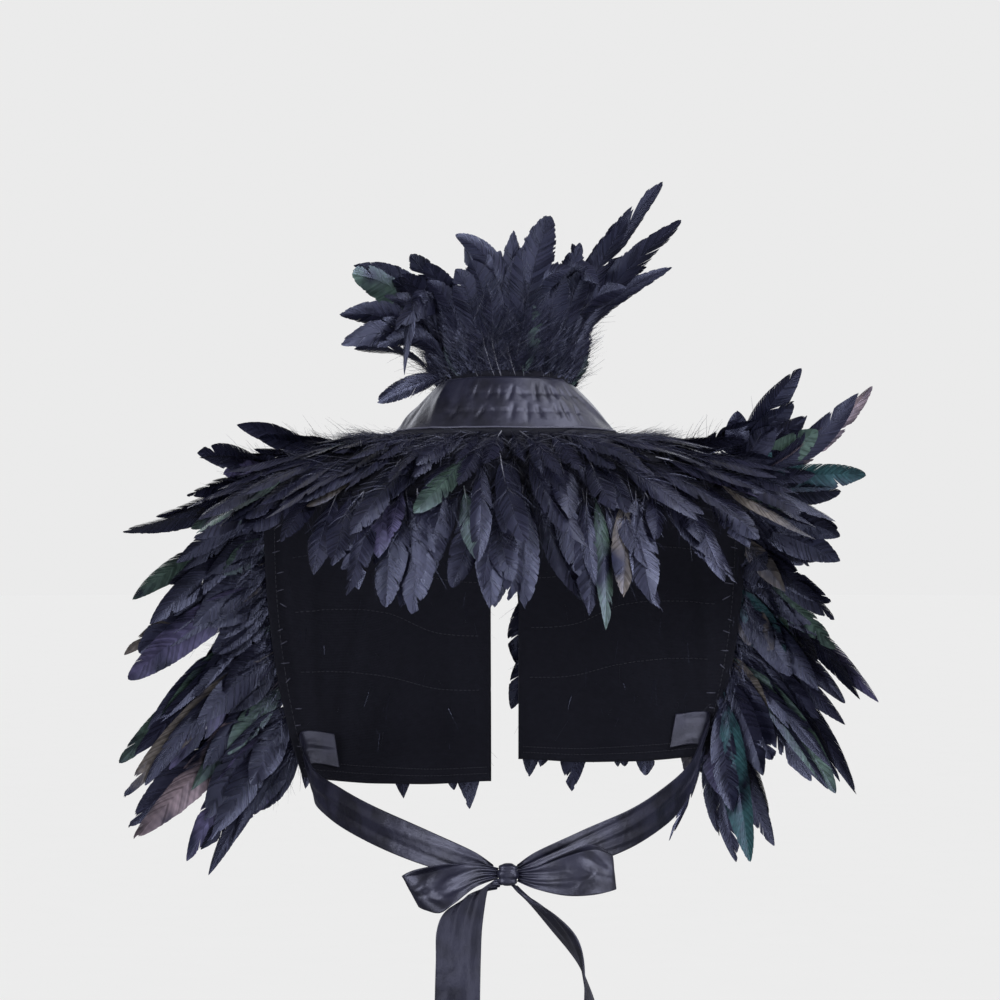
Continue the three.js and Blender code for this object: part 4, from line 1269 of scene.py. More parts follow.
TAIL_CREASES = (
    (0.02, 0.3, 0.45, 0.38, 1.1, 3), (0.02, 0.68, 0.38, 0.62, -1.0, 3),
    (0.3, 0.8, 0.75, 0.7, 0.8, 4), (0.6, 0.25, 0.98, 0.3, -0.7, 4.5),
)


@dataclass
class Neckband:
    """The conical satin band, gathered by two rows of elastic stitching across the back."""
    columns: int = 380
    rows: int = 30
    arc: float = 215.0
    depth: float = 58.0
    flat: Pair = (0.44, 0.058)
    rows_at: Pair = (0.32, 0.68)
    row_from: Pair = (-0.13, -0.20)
    row_to: Pair = (0.31, 0.29)
    puckers: int = 10
    channel_depth: float = 0.8
    channel_width: float = 1.1
    hem_radius: float = 0.8
    stitch_pitch: float = 2.6
    stitch_radius: float = 0.26

    def folds(self) -> list[Fold]:
        """Short troughs through each stitch row, ridges between them, and longer creases."""
        folds = []
        for row, (v, a, b) in enumerate(zip(self.rows_at, self.row_from, self.row_to)):
            for k in range(self.puckers):
                u = a + (b - a) * (k + 0.5 + 0.35 * (2 * chance(k + 7.0 * row) - 1)) / self.puckers
                reach = 0.07 + 0.11 * float(chance(k + 31 + row))
                lean = 0.012 * float(2 * chance(k + 51 + row) - 1)
                height = -0.7 - 0.9 * float(chance(k + 11 + row))
                folds.append(Fold((u - lean, v - reach), (u + lean, v + reach), height, 1.7))
        return folds + folds_from(NECKBAND_CREASES)

    def raised(self, u: Array, v: Array) -> Array:
        """All folds, plus two fine channels under the stitch rows."""
        total = relief(u, v, self.folds(), (self.arc, self.depth))
        for at, a, b in zip(self.rows_at, self.row_from, self.row_to):
            inside = smoothstep(u, a - 0.03, a) * (1 - smoothstep(u, b, b + 0.03))
            aside = ((v - at) * self.depth) / self.channel_width
            total = total - self.channel_depth * inside * np.exp(-aside ** 2)
        return total

    def surface(self, u: Array, v: Array) -> Array:
        """The band's cone with its folds."""
        plain = FORM.band.surface
        return plain(u, v) + normals(plain, u, v, NECK_CORE) * self.raised(u, v)[..., None]

    def build(self, finishes: Finishes) -> None:
        """The band, its rolled lower edge and its stitch rows."""
        u, v = np.linspace(-1, 1, self.columns + 1), np.linspace(0, 1, self.rows + 1)
        size = (2 * self.arc, self.depth)
        wall = cloth_wall(FORM.band.surface, u, v, SATIN_WALL, size, NECK_CORE, self.raised)
        band = dress(wall.build("neckband_satin"), finishes.satin, ["neckband"])
        turn = np.linspace(-0.985, 0.985, 360)[None]
        rim = self.surface(turn, np.full_like(turn, 0.985))
        outwards = normals(self.surface, turn, np.full_like(turn, 0.98), NECK_CORE)
        hem = rods(rim + outwards * 0.15, outwards, np.full(turn.size, self.hem_radius), 8)
        # The rolled edge takes the pale thread's colour: a painted highlight along the band's lower
        # edge.
        dress(hem.build("neckband_rolled_edge"), finishes.pale_thread)
        rows = []
        for at, a, b in zip(self.rows_at, self.row_from, self.row_to):
            rail = on_cloth(self.surface, NECK_CORE, across_at(at))
            count = int((b - a) * self.arc / self.stitch_pitch)
            rows.append(stitches(rail, a, b, count, self.stitch_radius, 0.05, 0.72))
        dress(all_joined(rows).build("neckband_stitches"), finishes.pale_thread)
        log.info("neckband: satin band, rolled edge and two stitch rows")


@dataclass
class KnitBody:
    """The knitted ground: a crescent yoke and two fronts, with the seams that hold the feathers."""
    yoke_flat: Pair = (0.40, 0.17)
    yoke_area: float = 0.0292
    yoke_rows: Floats = (0.9, 0.5, 0.13)
    yoke_stitches: int = 90
    front_flat: Pair = (0.23, 0.31)
    front_area: float = 0.0545
    front_map: Pair = (225, 300)
    crease_tilt: float = 0.03
    tiers: Floats = (0.72, 0.56, 0.40, 0.24, 0.13)
    tier_stitches: int = 42
    dimple_depth: float = 0.35
    dimple_width: float = 1.2
    edge_line: float = 0.95
    edge_stitches: int = 64
    hem_lines: Pair = (0.955, 0.975)
    hem_stitches: int = 60
    stitch_radius: float = 0.34
    quills: int = 16

    def front_raised(self, side: Side) -> Surface:
        """A front's folds, and a fine dimple along each seam that a tape is sewn by.

        The folds are drag lines towards the waist ribbon and soft hollows over the chest.
        """
        tilt = self.crease_tilt * side.value
        folds = folds_from((a, b, c + tilt, d, h, w) for a, b, c, d, h, w in FRONT_CREASES)

        def read(a: Array, d: Array) -> Array:
            """Millimetres off the plain front."""
            fade = smoothstep(a, 0, 0.08) * (1 - smoothstep(a, 0.94, 1)) * smoothstep(d, 0.0, 0.14)
            total = relief(a, d, folds, (230, 300)) * fade
            for line in self.tiers:
                aside = ((d - line) * self.front_map[1]) / self.dimple_width
                total = total - self.dimple_depth * np.exp(-aside ** 2)
            return total
        return read

    def yoke_raised(self, u: Array, v: Array) -> Array:
        """The yoke's folds: soft creases that run out from the neck."""
        return relief(u, v, folds_from(YOKE_CREASES), (200, 100)) * smoothstep(v, 0, 0.2)

    def build(self, finishes: Finishes) -> None:
        """The yoke, the fronts, the seams inside them and the ends of the quills."""
        u, v = np.linspace(-0.998, 0.998, 161), np.linspace(0, 1, 41)
        wall = cloth_wall(FORM.yoke, u, v, KNIT_WALL, (400, 105), YOKE_CORE, self.yoke_raised)
        yoke = dress(wall.build("yoke_knit"), finishes.knit, ["yoke_back"])
        seams = self.yoke_seams()
        for side in Side:
            front = self.front(side, finishes)
            seams = seams.joined(self.front_seams(side))
            quills = self.quill_ends(side).build(f"quill_ends_{side.word}")
            # Their pale colour is a painted glint, for light that shows through the knit.
            dress(quills, finishes.pale_thread)
        dress(seams.build("knit_seams"), finishes.thread)
        log.info("knit body: yoke, two fronts, seams and quill ends")

    def front(self, side: Side, finishes: Finishes) -> Object:
        """One front."""
        a, d = np.linspace(0, 1, 81), np.linspace(0, 1, 101)
        raised = self.front_raised(side)
        wall = cloth_wall(FORM.one_front(side), a, d, KNIT_WALL, self.front_map, FRONT_CORE, raised)
        obj = wall.build(f"front_knit_{side.word}")
        return dress(obj, finishes.knit, [f"front_{side.word}"])

    def yoke_seams(self) -> MeshParts:
        """A row of stitches under each tape of the yoke."""
        rails = [on_cloth(FORM.yoke, YOKE_CORE, across_at(line, -0.94, 0.94), True)
                 for line in self.yoke_rows]
        return all_joined(stitches(rail, 0, 1, self.yoke_stitches, 0.32) for rail in rails)

    def front_surface(self, side: Side) -> Surface:
        """A front with its folds."""
        plain, raised = FORM.one_front(side), self.front_raised(side)
        return lambda a, d: plain(a, d) + normals(plain, a, d, FRONT_CORE) * raised(a, d)[..., None]

    def front_seams(self, side: Side) -> MeshParts:
        """Stitches inside a front: under each tape, along the outer edge, and a hem of two rows."""
        surface = self.front_surface(side)
        lines = [(across_at(line, 0.07, 0.88), self.tier_stitches) for line in self.tiers]
        lines.append((down_at(self.edge_line, 0.04, 0.96), self.edge_stitches))
        lines += [(across_at(line, 0.03, 0.97), self.hem_stitches) for line in self.hem_lines]
        return all_joined(stitches(on_cloth(surface, FRONT_CORE, place, True), 0, 1, count,
                                   self.stitch_radius) for place, count in lines)

    def quill_ends(self, side: Side) -> MeshParts:
        """Short pale quill ends that come through the knit along the outer edge; their pale colour is a
        painted glint, for light that shows through the knit.
        """
        surface = self.front_surface(side)
        k = np.arange(self.quills)
        at = mix(0.10, 0.93, (k + 0.5 + jitter(k + 5, 0.3)) / self.quills)
        across = 0.93 + jitter(k + 9, 0.018)
        p, n, _ = on_cloth(surface, FRONT_CORE, lambda s: (across, s), True)(at)
        line = np.full_like(at, 0.93)
        down = unit(surface(line, at + 0.02) - surface(line, at))
        way = unit(down * jitter(k + 2, 0.8)[:, None] + np.cross(n, down) * side.value + n * 0.12)
        j = np.array([0, 0.5, 1.0])[None, :, None]
        length = (4.5 + 3.5 * chance(k + 13))[:, None, None]
        path = p[:, None] - way[:, None] * length / 2 + way[:, None] * j * length + n[:, None] * 0.2
        return rods(path, np.repeat(n[:, None], 3, axis=1), np.array([0.5, 0.46, 0.2]), 6)


@dataclass
class Ribbon:
    """A satin ribbon through stations, pleated where a knot holds it."""
    name: str
    centres: Array
    acrosses: Array
    widths: Array
    full: float = 34.0
    pleated_start: bool = False
    pleated_end: bool = False
    creases: Sequence[Fold] = ()
    wall: float = 1.0
    pleats: float = 3.5
    pleat_height: float = 1.15
    pleat_fade: float = 17.0
    edge_wave: float = 0.35

    @classmethod
    def through(cls, name: str, rows: Rows, **settings: object) -> "Ribbon":
        """A ribbon through rows of X, Y, Z, the way across in degrees (heading, lift), and width."""
        table = np.array(rows, float)
        heading, lift = np.radians(table[:, 3]), np.radians(table[:, 4])
        flat = np.cos(lift)
        across = np.stack([np.cos(heading) * flat, np.sin(heading) * flat, np.sin(lift)], -1)
        return cls(name, table[:, :3], across, table[:, 5], **settings)

    def mirrored(self, name: str) -> "Ribbon":
        """The same ribbon on the other side of the wearer."""
        flip = np.array([-1, 1, 1])
        return replace(self, name=name, centres=(self.centres * flip)[::-1],
                       acrosses=(self.acrosses * flip)[::-1], widths=self.widths[::-1],
                       pleated_start=self.pleated_end, pleated_end=self.pleated_start)

    def surface(self, u: Array, v: Array) -> Array:
        """The middle line plus the way across times the width there, for v from 0 to 1."""
        wide = unit(smooth_read(self.acrosses, u))
        return smooth_read(self.centres, u) + wide * ((v - 0.5) * smooth_read(self.widths, u))[..., None]

    def length(self) -> float:
        """The middle line's length in millimetres."""
        p = self.surface(np.linspace(0, 1, 400), np.full(400, 0.5))
        return float(np.sum(np.linalg.norm(np.diff(p, axis=0), axis=-1)))

    def raised(self, u: Array, v: Array) -> Array:
        """Pleats by the knots, creases along the ribbon and a slight wave of its edges.

        The pleats are a cosine across the ribbon that fades by e^(-(d / 17)^2) with the
        distance d from the knot.
        """
        length = self.length()
        total = relief(u, v, self.creases, (length, self.full))
        wave = 2 * np.pi * (self.pleats * v + 0.15 * np.sin(9 * u))
        for held, d in ((self.pleated_start, u * length), (self.pleated_end, (1 - u) * length)):
            if held:
                total = total + self.pleat_height * np.cos(wave) * np.exp(-(d / self.pleat_fade) ** 2)
        edge = np.abs(2 * v - 1) ** 4
        return total + self.edge_wave * edge * np.sin(u * length / 9 + 4 * v)

    def build(self, finishes: Finishes, held: str, rests_on: Sequence[str]) -> Object:
        """The ribbon's shell, standing for the solid of the same name."""
        length = self.length()
        u = np.linspace(0, 1, int(length / 1.8) + 2)
        v = np.linspace(0, 1, 29)
        wall = cloth_wall(self.surface, u, v, self.wall, (length, self.full), None, self.raised)
        obj = dress(wall.build(f"{self.name}_satin"), finishes.satin, [self.name])
        return obj


@frozen
class Knot:
    """A knot of wrapped ribbon: a squared ball with creases that run round it."""
    name: str
    centre: Triple
    half: Triple
    axis: int = 0
    creases: float = 6.0
    crease_depth: float = 0.07
    squareness: float = 0.7

    def build(self, finishes: Finishes) -> None:
        """A ball from pole to pole of its axis, each part raised to the power of its squareness.

        The creases are a cosine along the axis, turned a little by the way round.
        """
        rows, columns = 40, 64
        a = np.linspace(-np.pi / 2, np.pi / 2, rows + 2)[:, None]
        w = np.linspace(0, 2 * np.pi, columns, endpoint=False)[None, :]
        parts = [np.sin(a) + 0 * w, np.cos(a) * np.cos(w), np.cos(a) * np.sin(w)]
        turned = self.creases * np.pi * np.sin(a) + 0.9 * np.sin(w + 0.6)
        groove = 1 + self.crease_depth * np.cos(turned) * np.cos(a)
        shape = np.stack([np.sign(p) * np.abs(p) ** self.squareness * groove for p in parts], -1)
        shape = np.roll(shape, self.axis, axis=-1)
        points = np.array(self.centre) + shape * np.array(self.half)
        points = np.concatenate([points[:1, 0], points[1:-1].reshape(-1, 3), points[-1:, 0]]) * MM
        index = 1 + np.arange(rows * columns).reshape(rows, columns)
        turned = np.roll(index, -1, axis=1)
        quads = np.stack([index[:-1], turned[:-1], turned[1:], index[1:]], -1).reshape(-1, 4)
        top = len(points) - 1
        first = np.stack([np.zeros(columns, int), turned[0], index[0]], -1)
        last = np.stack([np.full(columns, top), index[-1], turned[-1]], -1)
        side = np.stack([12 * a[1:-1] + 0 * w, 8 * w + 0 * a[1:-1]], -1)
        uv = np.concatenate([[[0, 0]], side.reshape(-1, 2), [[0, 0]]])
        mesh = facing_out(MeshParts(points, quads, np.concatenate([first, last]), uv * MM))
        dress(mesh.build(f"{self.name}_satin"), finishes.satin, [self.name])


@dataclass
class Ribbons:
    """The waist ribbons with their bow, and the neck ties with their knot."""
    seam_down: float = 0.92
    seam_across: Pair = (0.78, 0.93)
    seam_gap: float = 2.1
    seam_width: float = 28
    waist_width: float = 31.0
    tie_width: float = 16.0
    waist: Rows = (
        (156, 64, -276, 180, -80, 30), (147, 30, -285, 180, -84, 30), (128, -6, -294, 180, -88, 30),
        (98, -50, -305, -60, -86, 29), (58, -82, -318, -90, -84, 27), (24, -97, -328, -90, -84, 19),
        (9, -100, -332, -90, -84, 8))
    loop_right: Rows = (
        (9.5, -104, -336, -90, -86, 8), (24, -110, -337, -90, -84, 17),
        (45, -116, -335, -90, -78, 29), (66, -116, -332, -90, -76, 34),
        (81, -108, -333, -60, -80, 25), (66, -98, -330, 90, -84, 34), (44, -98, -333, 90, -84, 26),
        (24, -101, -335, 90, -84, 12), (14, -102, -335.5, 90, -86, 7))
    loop_left: Rows = (
        (-5, -105, -334, -90, -86, 8), (-22, -111, -335, -90, -70, 18),
        (-41, -120, -341, -70, -50, 32), (-57, -122, -347, -50, -52, 35),
        (-71, -111, -347, -20, -60, 26), (-60, -100, -347, 20, -70, 34),
        (-40, -98, -340, 60, -78, 26), (-20, -101, -336, 90, -84, 12),
        (-9.5, -102.5, -335, 90, -86, 7))
    tail_left: Rows = (
        (-4, -106, -343.2, 0, 40, 9), (-15, -108, -344, 0, 34, 22), (-28, -110, -353, 4, 26, 34),
        (-34, -109, -374, 8, 8, 35), (-35, -107, -400, 10, 2, 34), (-36, -104, -435, -4, 0, 34),
        (-37, -104, -470, -10, -8, 34), (-38, -105, -496, -6, -26, 37))
    tail_right: Rows = (
        (6, -104, -342.5, 0, -30, 8), (16, -108, -351, -20, -24, 17),
        (29, -111, -362, -38, -16, 28), (43, -111, -378, -56, -6, 33), (53, -109, -395, -74, 0, 34),
        (59, -107, -414, -92, 0, 34), (64, -105, -440, -110, 6, 34), (68, -104, -476, -122, 26, 37))
    neck_tie: Rows = (
        (4, 82, -14.2, 10, 0, 6), (8, 104, -22, 10, 0, 11), (12, 130, -44, 6, 0, 15),
        (15, 146, -78, -6, 0, 16), (17, 152, -112, -14, 0, 16), (19, 154, -140, -10, 22, 17))
    bow_knot: Knot = Knot("bow_knot", (2, -104, -335), (7.6, 7.2, 8.4), 2, 3.4)
    neck_knot: Knot = Knot("neck_knot", (0, 75, -8), (8.7, 7, 8.5))

    def waist_ribbon(self, side: Side) -> Ribbon:
        """A waist ribbon: from under the front's lower corner round to the bow."""
        at = np.array(self.seam_across)
        down = np.full(2, self.seam_down)
        plain = FORM.one_front(side)
        seam = plain(at, down) - normals(plain, at, down, FRONT_CORE) * (KNIT_WALL + self.seam_gap)
        slant = unit(plain(at, np.full(2, 0.98)) - plain(at, np.full(2, 0.88)))
        flip = np.array([side.value, 1, 1])
        rest = Ribbon.through("", self.waist)
        rise = FORM.rise(side) * np.maximum(0, 1 - np.arange(len(self.waist)) / 2.5)
        right = Ribbon(f"waist_ribbon_{side.word}",
                       np.concatenate([seam * flip, rest.centres + rise[:, None] * UP]),
                       np.concatenate([slant * flip, rest.acrosses]),
                       np.concatenate([[self.seam_width] * 2, rest.widths]), full=self.waist_width,
                       pleated_end=True, creases=folds_from(WAIST_CREASES))
        return right if side is Side.RIGHT else right.mirrored(right.name)

    def bow(self) -> list[Ribbon]:
        """The bow's two loops and two tails."""
        both = {"pleated_start": True, "pleated_end": True, "creases": folds_from(LOOP_CREASES)}
        one = {"pleated_start": True, "creases": folds_from(TAIL_CREASES)}
        return [Ribbon.through("bow_loop_right", self.loop_right, **both),
                Ribbon.through("bow_loop_left", self.loop_left, **both),
                Ribbon.through("bow_tail_left", self.tail_left, **one),
                Ribbon.through("bow_tail_right", self.tail_right, **one)]

    def build(self, finishes: Finishes) -> None:
        """Every ribbon and both knots."""
        for side in Side:
            rests_on = [f"front_knit_{side.word}", "bow_knot_satin"]
            self.waist_ribbon(side).build(finishes, "stretched", rests_on)
        for ribbon in self.bow():
            held = "folded" if "loop" in ribbon.name else "hung"
            ribbon.build(finishes, held, ["bow_knot_satin"])
        tie = Ribbon.through("neck_tie_right", self.neck_tie, full=self.tie_width, pleated_start=True)
        for one in (tie, tie.mirrored("neck_tie_left")):
            one.build(finishes, "hung", ["neck_knot_satin"])
        self.bow_knot.build(finishes)
        self.neck_knot.build(finishes)
        log.info("ribbons: two waist ribbons, bow of two loops and two tails, two neck ties, two knots")


@frozen
class Tape:
    """A feather tape's section in millimetres."""
    width: float = 8.0
    height: float = 1.8
    lift: float = 0.8

    @property
    def root(self) -> float:
        """How far off the cloth the feathers start."""
        return self.lift + 0.8 * self.height


@dataclass
class Feathers:
    """Every row of feathers with its tape. Each row is one piece that stands for one solid."""
    finishes: Finishes
    tape: Tape = Tape()
    tapes: list[MeshParts] = field(default_factory=list)
    count: int = 0

    def row(self, node: str, rail: Rail, batches: Sequence[tuple[Plumes, VaneForm]],
            tape: Optional[Tape] = None) -> None:
        """Builds one row and its tape. node is the solid that the row stands for."""
        tape = tape or self.tape
        mesh = all_joined(form.build(plumes) for plumes, form in batches)
        number = sum(len(plumes.width) for plumes, _ in batches)
        self.tapes.append(tape_strip(rail, tape.width, tape.height, tape.lift))
        self.count += number
        obj = mesh.build(node.replace("feathers_", "plumes_"))
        dress(obj, self.finishes.feather, [node])
        log.info("%s: %d feathers, %d faces", node, number, len(obj.data.polygons))

    def finish(self) -> None:
        """All tapes as one knitted piece."""
        dress(all_joined(self.tapes).build("feather_tapes"), self.finishes.knit)
        log.info("tapes under %d feathers", self.count)


@frozen
class FrontTier:
    """A row of feathers across a front. line is the share of the way down to its tape."""
    name: str
    line: float
    span: Pair
    count: int
    length: float
    width: float
    lift: float
    fan: float


@dataclass
class FrontFeathers:
    """The tiers of feathers on a front, from the hem up, with the short row on its shoulder."""
    tiers: tuple[FrontTier, ...] = (
        FrontTier("front_5", 0.72, (0.07, 0.88), 17, 84, 21, 4, 0.25),
        FrontTier("front_4", 0.56, (0.07, 0.88), 17, 82, 21, 7, 0.25),
        FrontTier("front_3", 0.40, (0.07, 0.88), 17, 82, 21, 7, 0.30),
        FrontTier("front_2", 0.24, (0.07, 0.88), 17, 80, 21, 8, 0.35),
        FrontTier("front_1", 0.13, (0.09, 0.88), 17, 76, 20, 9, 0.40),
        FrontTier("front_neckline", 0.045, (0.05, 0.46), 12, 60, 17, 12, 1.0))
    form: VaneForm = VaneForm(barbs=36, down=36)
    shoulder_line: float = 0.06
    shoulder_span: Pair = (0.56, 0.90)
    shoulder_spread: float = 0.35
    shoulder_tape: Tape = Tape(8, 1.8, 0.5)
    left_tips: Rows = ((-209, -4, 4), (-192, -22, -6))
    right_tips: Rows = ((196, -12, 8), (186, -24, -8))

    def build(self, side: Side, feathers: Feathers) -> None:
        """One side's tiers and its shoulder row."""
        surface = FORM.one_front(side)
        for number, tier in enumerate(self.tiers):
            place = across_at(tier.line, *tier.span)

            def aim(s: Array, k: Array, tier: FrontTier = tier, place: Place = place) -> Array:
                """Down the cloth, and outwards by the tier's fan."""
                a, d = place(s)
                down = unit(surface(a, d + 0.01) - surface(a, d))
                return down + vector(side.value * tier.fan * (a - 0.2), 0, 0)

            rail = on_cloth(surface, FRONT_CORE, place)
            seed = 10.0 * number + side.value
            row = row_plumes(rail, aim, tier.count, tier.length, tier.width, tier.lift, seed,
                             feathers.tape.root)
            form = replace(self.form, seed=seed, down_length=23 if tier.line < 0.2 else 18)
            feathers.row(f"feathers_{tier.name}_{side.word}", rail, [(row, form)])
        self.shoulder(side, feathers, surface)

    def shoulder(self, side: Side, feathers: Feathers, surface: Surface) -> None:
        """A short downy row along the shoulder, spread forwards and back in turn."""
        place = across_at(self.shoulder_line, *self.shoulder_span)
        rail = on_cloth(surface, FRONT_CORE, place)

        def aim(s: Array, k: Array) -> Array:
            """Outwards along the shoulder, and forwards or back."""
            a, d = place(s)
            here = surface(a, d)
            out = unit(surface(a + 0.02, d) - here)
            forward = unit(surface(a, d + 0.02) - here)
            turn = self.shoulder_spread * np.array([-0.8, 1.5, 0.2])[k % 3]
            return out + forward * turn[:, None]

        row = row_plumes(rail, aim, 15, 68, 18, 12, 77.0 + side.value, feathers.tape.root)
        form = replace(self.form, down=80, down_length=24, pale_hairs=0.15, seed=77.0)
        tips = self.left_tips if side is Side.LEFT else self.right_tips
        heroes = [Hero(at, tip, 20, 0, 0.04) for at, tip in zip((0.45, 0.2), tips)]
        best = hero_plumes(heroes, rail, feathers.tape.root, 0, 90.0)
        feathers.row(f"feathers_shoulder_{side.word}", rail, [(row, form), (best, form)],
                     self.shoulder_tape)


LEFT_EDGE = (
    Hero(0.02, (-240, -2, -18), 23, 0.02, 0.10), Hero(0.06, (-248, 6, -51), 25, 0, 0.08, 0.6),
    Hero(0.10, (-246, 10, -77), 23, 0, 0.06, 0.6, glint=Glint.GREEN),
    Hero(0.13, (-302, 34, -80), 25, 0, 0.05, 0.5), Hero(0.20, (-258, 14, -104), 18, 0, 0.05),
    Hero(0.26, (-295, 40, -134), 24, 0, 0.05, 0.65, glint=Glint.GREEN),
    Hero(0.33, (-281, 36, -153), 22, 0, 0.05),
    Hero(0.40, (-303, 52, -178), 17, 0, 0.06, 0.6, glint=Glint.BRONZE),
    Hero(0.47, (-299, 44, -197), 33, 0, 0.08, 0.5, glint=Glint.PURPLE),
    Hero(0.54, (-280, 66, -239), 20, 0, 0.05), Hero(0.58, (-295, 50, -258), 22, 0, 0.06),
    Hero(0.61, (-308, 62, -265), 20, 0, 0.08, 0.5, glint=Glint.GREEN),
    Hero(0.68, (-300, 40, -289), 23, 0, 0.08, 0.6, glint=Glint.BRONZE),
    Hero(0.76, (-297, 62, -326), 32, 0, 0.08, 0.6, glint=Glint.PINK),
    Hero(0.86, (-255, 70, -344), 24, 0, 0.06, glint=Glint.PURPLE),
    Hero(0.90, (-244, 72, -335), 26, 0, 0.06), Hero(0.95, (-238, 76, -356), 15, 0, 0.06),
)
RIGHT_EDGE = (
    Hero(0.00, (180, -10, 15), 18, 0, 0.08), Hero(0.02, (231, -4, 48), 22, 0, 0.08, 0.6),
    Hero(0.07, (288, 12, 35), 22, 0, -0.16, 0.6, glint=Glint.PINK),
    Hero(0.13, (284, 20, -35), 26, 0, 0.05, 0.6, glint=Glint.TEAL),
    Hero(0.20, (263, 14, -83), 25, 0, 0.06, 0.6), Hero(0.27, (265, 34, -103), 25, 0, 0.06),
    Hero(0.34, (259, 22, -148), 25, 0, 0.06, 0.6),
    Hero(0.41, (261, 44, -173), 26, 0, 0.06, 0.5, glint=Glint.GREEN),
    Hero(0.49, (298, 56, -216), 24, 0, 0.06, glint=Glint.PURPLE),
    Hero(0.53, (270, 44, -216), 19, 0, 0.06, 0.6), Hero(0.57, (270, 44, -233), 22, 0, 0.06),
    Hero(0.65, (281, 62, -290), 19, 0, 0.16),
    Hero(0.73, (262, 40, -287), 22, 0, 0.10, 0.6, glint=Glint.GREEN),
    Hero(0.76, (256, 40, -284), 14, 0, 0.07),
    Hero(0.82, (192, 8, -338), 27, 0, 0.02, 0.65, glint=Glint.TEAL),
    Hero(0.90, (216, 70, -332), 20, 0, 0.05), Hero(0.97, (186, 84, -346), 18, 0, 0.03),
    Hero(0.99, (131, 60, -326), 6, 0, 0.02),
)
BACK_HEROES = (
    Hero(0.27, (-110, -104, -122), 19, 0.06, 0),
    Hero(0.32, (-95, -112, -98), 18, 0.08, 0, glint=Glint.PURPLE),
    Hero(0.34, (-82, -110, -122), 17, 0.06, 0), Hero(0.37, (-70, -113, -140), 27, 0.05, 0),
    Hero(0.44, (-20, -112, -101), 18, 0.06, 0, glint=Glint.GREEN),
    Hero(0.46, (-11, -118, -136), 22, 0.05, 0), Hero(0.49, (-2, -117, -112), 22, 0.05, 0),
    Hero(0.51, (3, -118, -129), 21, 0.05, 0), Hero(0.53, (15, -116, -136), 22, 0.05, 0),
    Hero(0.63, (75, -112, -152), 15, 0.05, 0, glint=Glint.GREEN),
    Hero(0.68, (88, -113, -127), 19, 0.07, 0, glint=Glint.BRONZE),
    Hero(0.70, (96, -108, -112), 12, 0.07, 0), Hero(0.73, (112, -104, -86), 16, 0.10, 0.1),
)
COLLAR_HEROES = (
    (-104, Hero(0, (-119, 24, 64), 22, 0.22, 0.28)),
    (-66, Hero(0, (-119, -8, 121), 32, 0.30, 0.36, 0.5, glint=Glint.GREEN)),
    (-74, Hero(0, (-118, -4, 128), 24, 0.26, 0.30)),
    (-72, Hero(0, (-128, -30, 88), 24, 0.26, 0.40)),
    (-62, Hero(0, (-126, -44, 64), 22, 0.26, 0.50, 0.6)),
    (-60, Hero(0, (-77, -55, 40), 12, -0.20, 2.60)), (-54, Hero(0, (-98, -52, 62), 16, 0.24, 0.60)),
    (-56, Hero(0, (-98, -53, 20), 15, 0.12, 0.22, 0.5)),
    (-50, Hero(0, (-84, -56, 75), 24, 0.60, 1.30, 0.6)),
    (-45, Hero(0, (-73, -40, 134), 22, 0.18, 0.20, 0.6)),
    (-36, Hero(0, (-61, -50, 127), 24, 0.12, 0.20, 0.6)),
    (-12, Hero(0, (-38, -66, 147), 18, 0.06, 0.34, 0.6, 0.38)),
    (-14, Hero(0, (-26, -62, 128), 22, 0.02, 0.20, 0.6, 0.16)),
    (6, Hero(0, (12, -60, 138), 22, 0.02, 0.02, 0.6, 0.10)),
    (16, Hero(0, (34, -64, 162), 29, 0.02, 0.0, 0.5, -0.12)),
    (26, Hero(0, (72, -52, 110), 18, 0.15, 0.90)),
    (14, Hero(0, (50, -58, 122), 18, 0.05, 0.40, 0.6, -0.2)),
    (42, Hero(0, (58, -50, 142), 22, 0.12, 0.10)),
    (56, Hero(0, (94, -45, 161), 20, 0.17, 0.08, 0.6)),
    (62, Hero(0, (94, -40, 108), 20, 0.30, 0.36, 0.6)),
    (58, Hero(0, (136, -40, 161), 23, 0.32, 0.02, 0.55)),
    (66, Hero(0, (123, -10, 193), 22, 0.26, -0.12, 0.55)),
    (72, Hero(0, (130, -14, 126), 15, 0.36, 0.12, 0.6)),
)


@dataclass
class EdgeFeathers:
    """The long feathers that stand out from the fronts' outer edges."""
    form: VaneForm = VaneForm(barbs=54, vane_start=0.12, splits=2, down=40, down_length=17)
    cover: VaneForm = VaneForm(barbs=38, vane_start=0.03, sweep=0.2, down=44, down_length=17)

    def build(self, side: Side, feathers: Feathers) -> None:
        """One side's heroes and the shorter feathers between them."""
        rail = on_cloth(FORM.one_front(side), FRONT_CORE, down_at(0.95, 0.03, 0.95))
        heroes = LEFT_EDGE if side is Side.LEFT else RIGHT_EDGE
        seed = 210.0 + side.value
        lift = feathers.tape.root
        best = hero_plumes(heroes, rail, lift, 1, seed, 12)
        middle = between_plumes(heroes, rail, lift + 1.5, 30, (0.48, 0.74), 23, seed + 3)
        short = between_plumes(heroes, rail, lift + 2.5, 34, (0.28, 0.46), 24, seed + 7, 7)
        batches = [(best, replace(self.form, seed=seed)), (middle, replace(self.cover, seed=seed + 1)),
                   (short, replace(self.cover, seed=seed + 2))]
        feathers.row(f"feathers_edge_{side.word}", rail, batches)


@frozen
class YokeRow:
    """A row of feathers on the yoke. sag is how much they point down instead of outwards."""
    name: str
    line: float
    reach: float
    count: int
    length: float
    width: float
    lift: float
    sag: float
    down: int
    down_length: float
    pale_hairs: float
    ragged: float


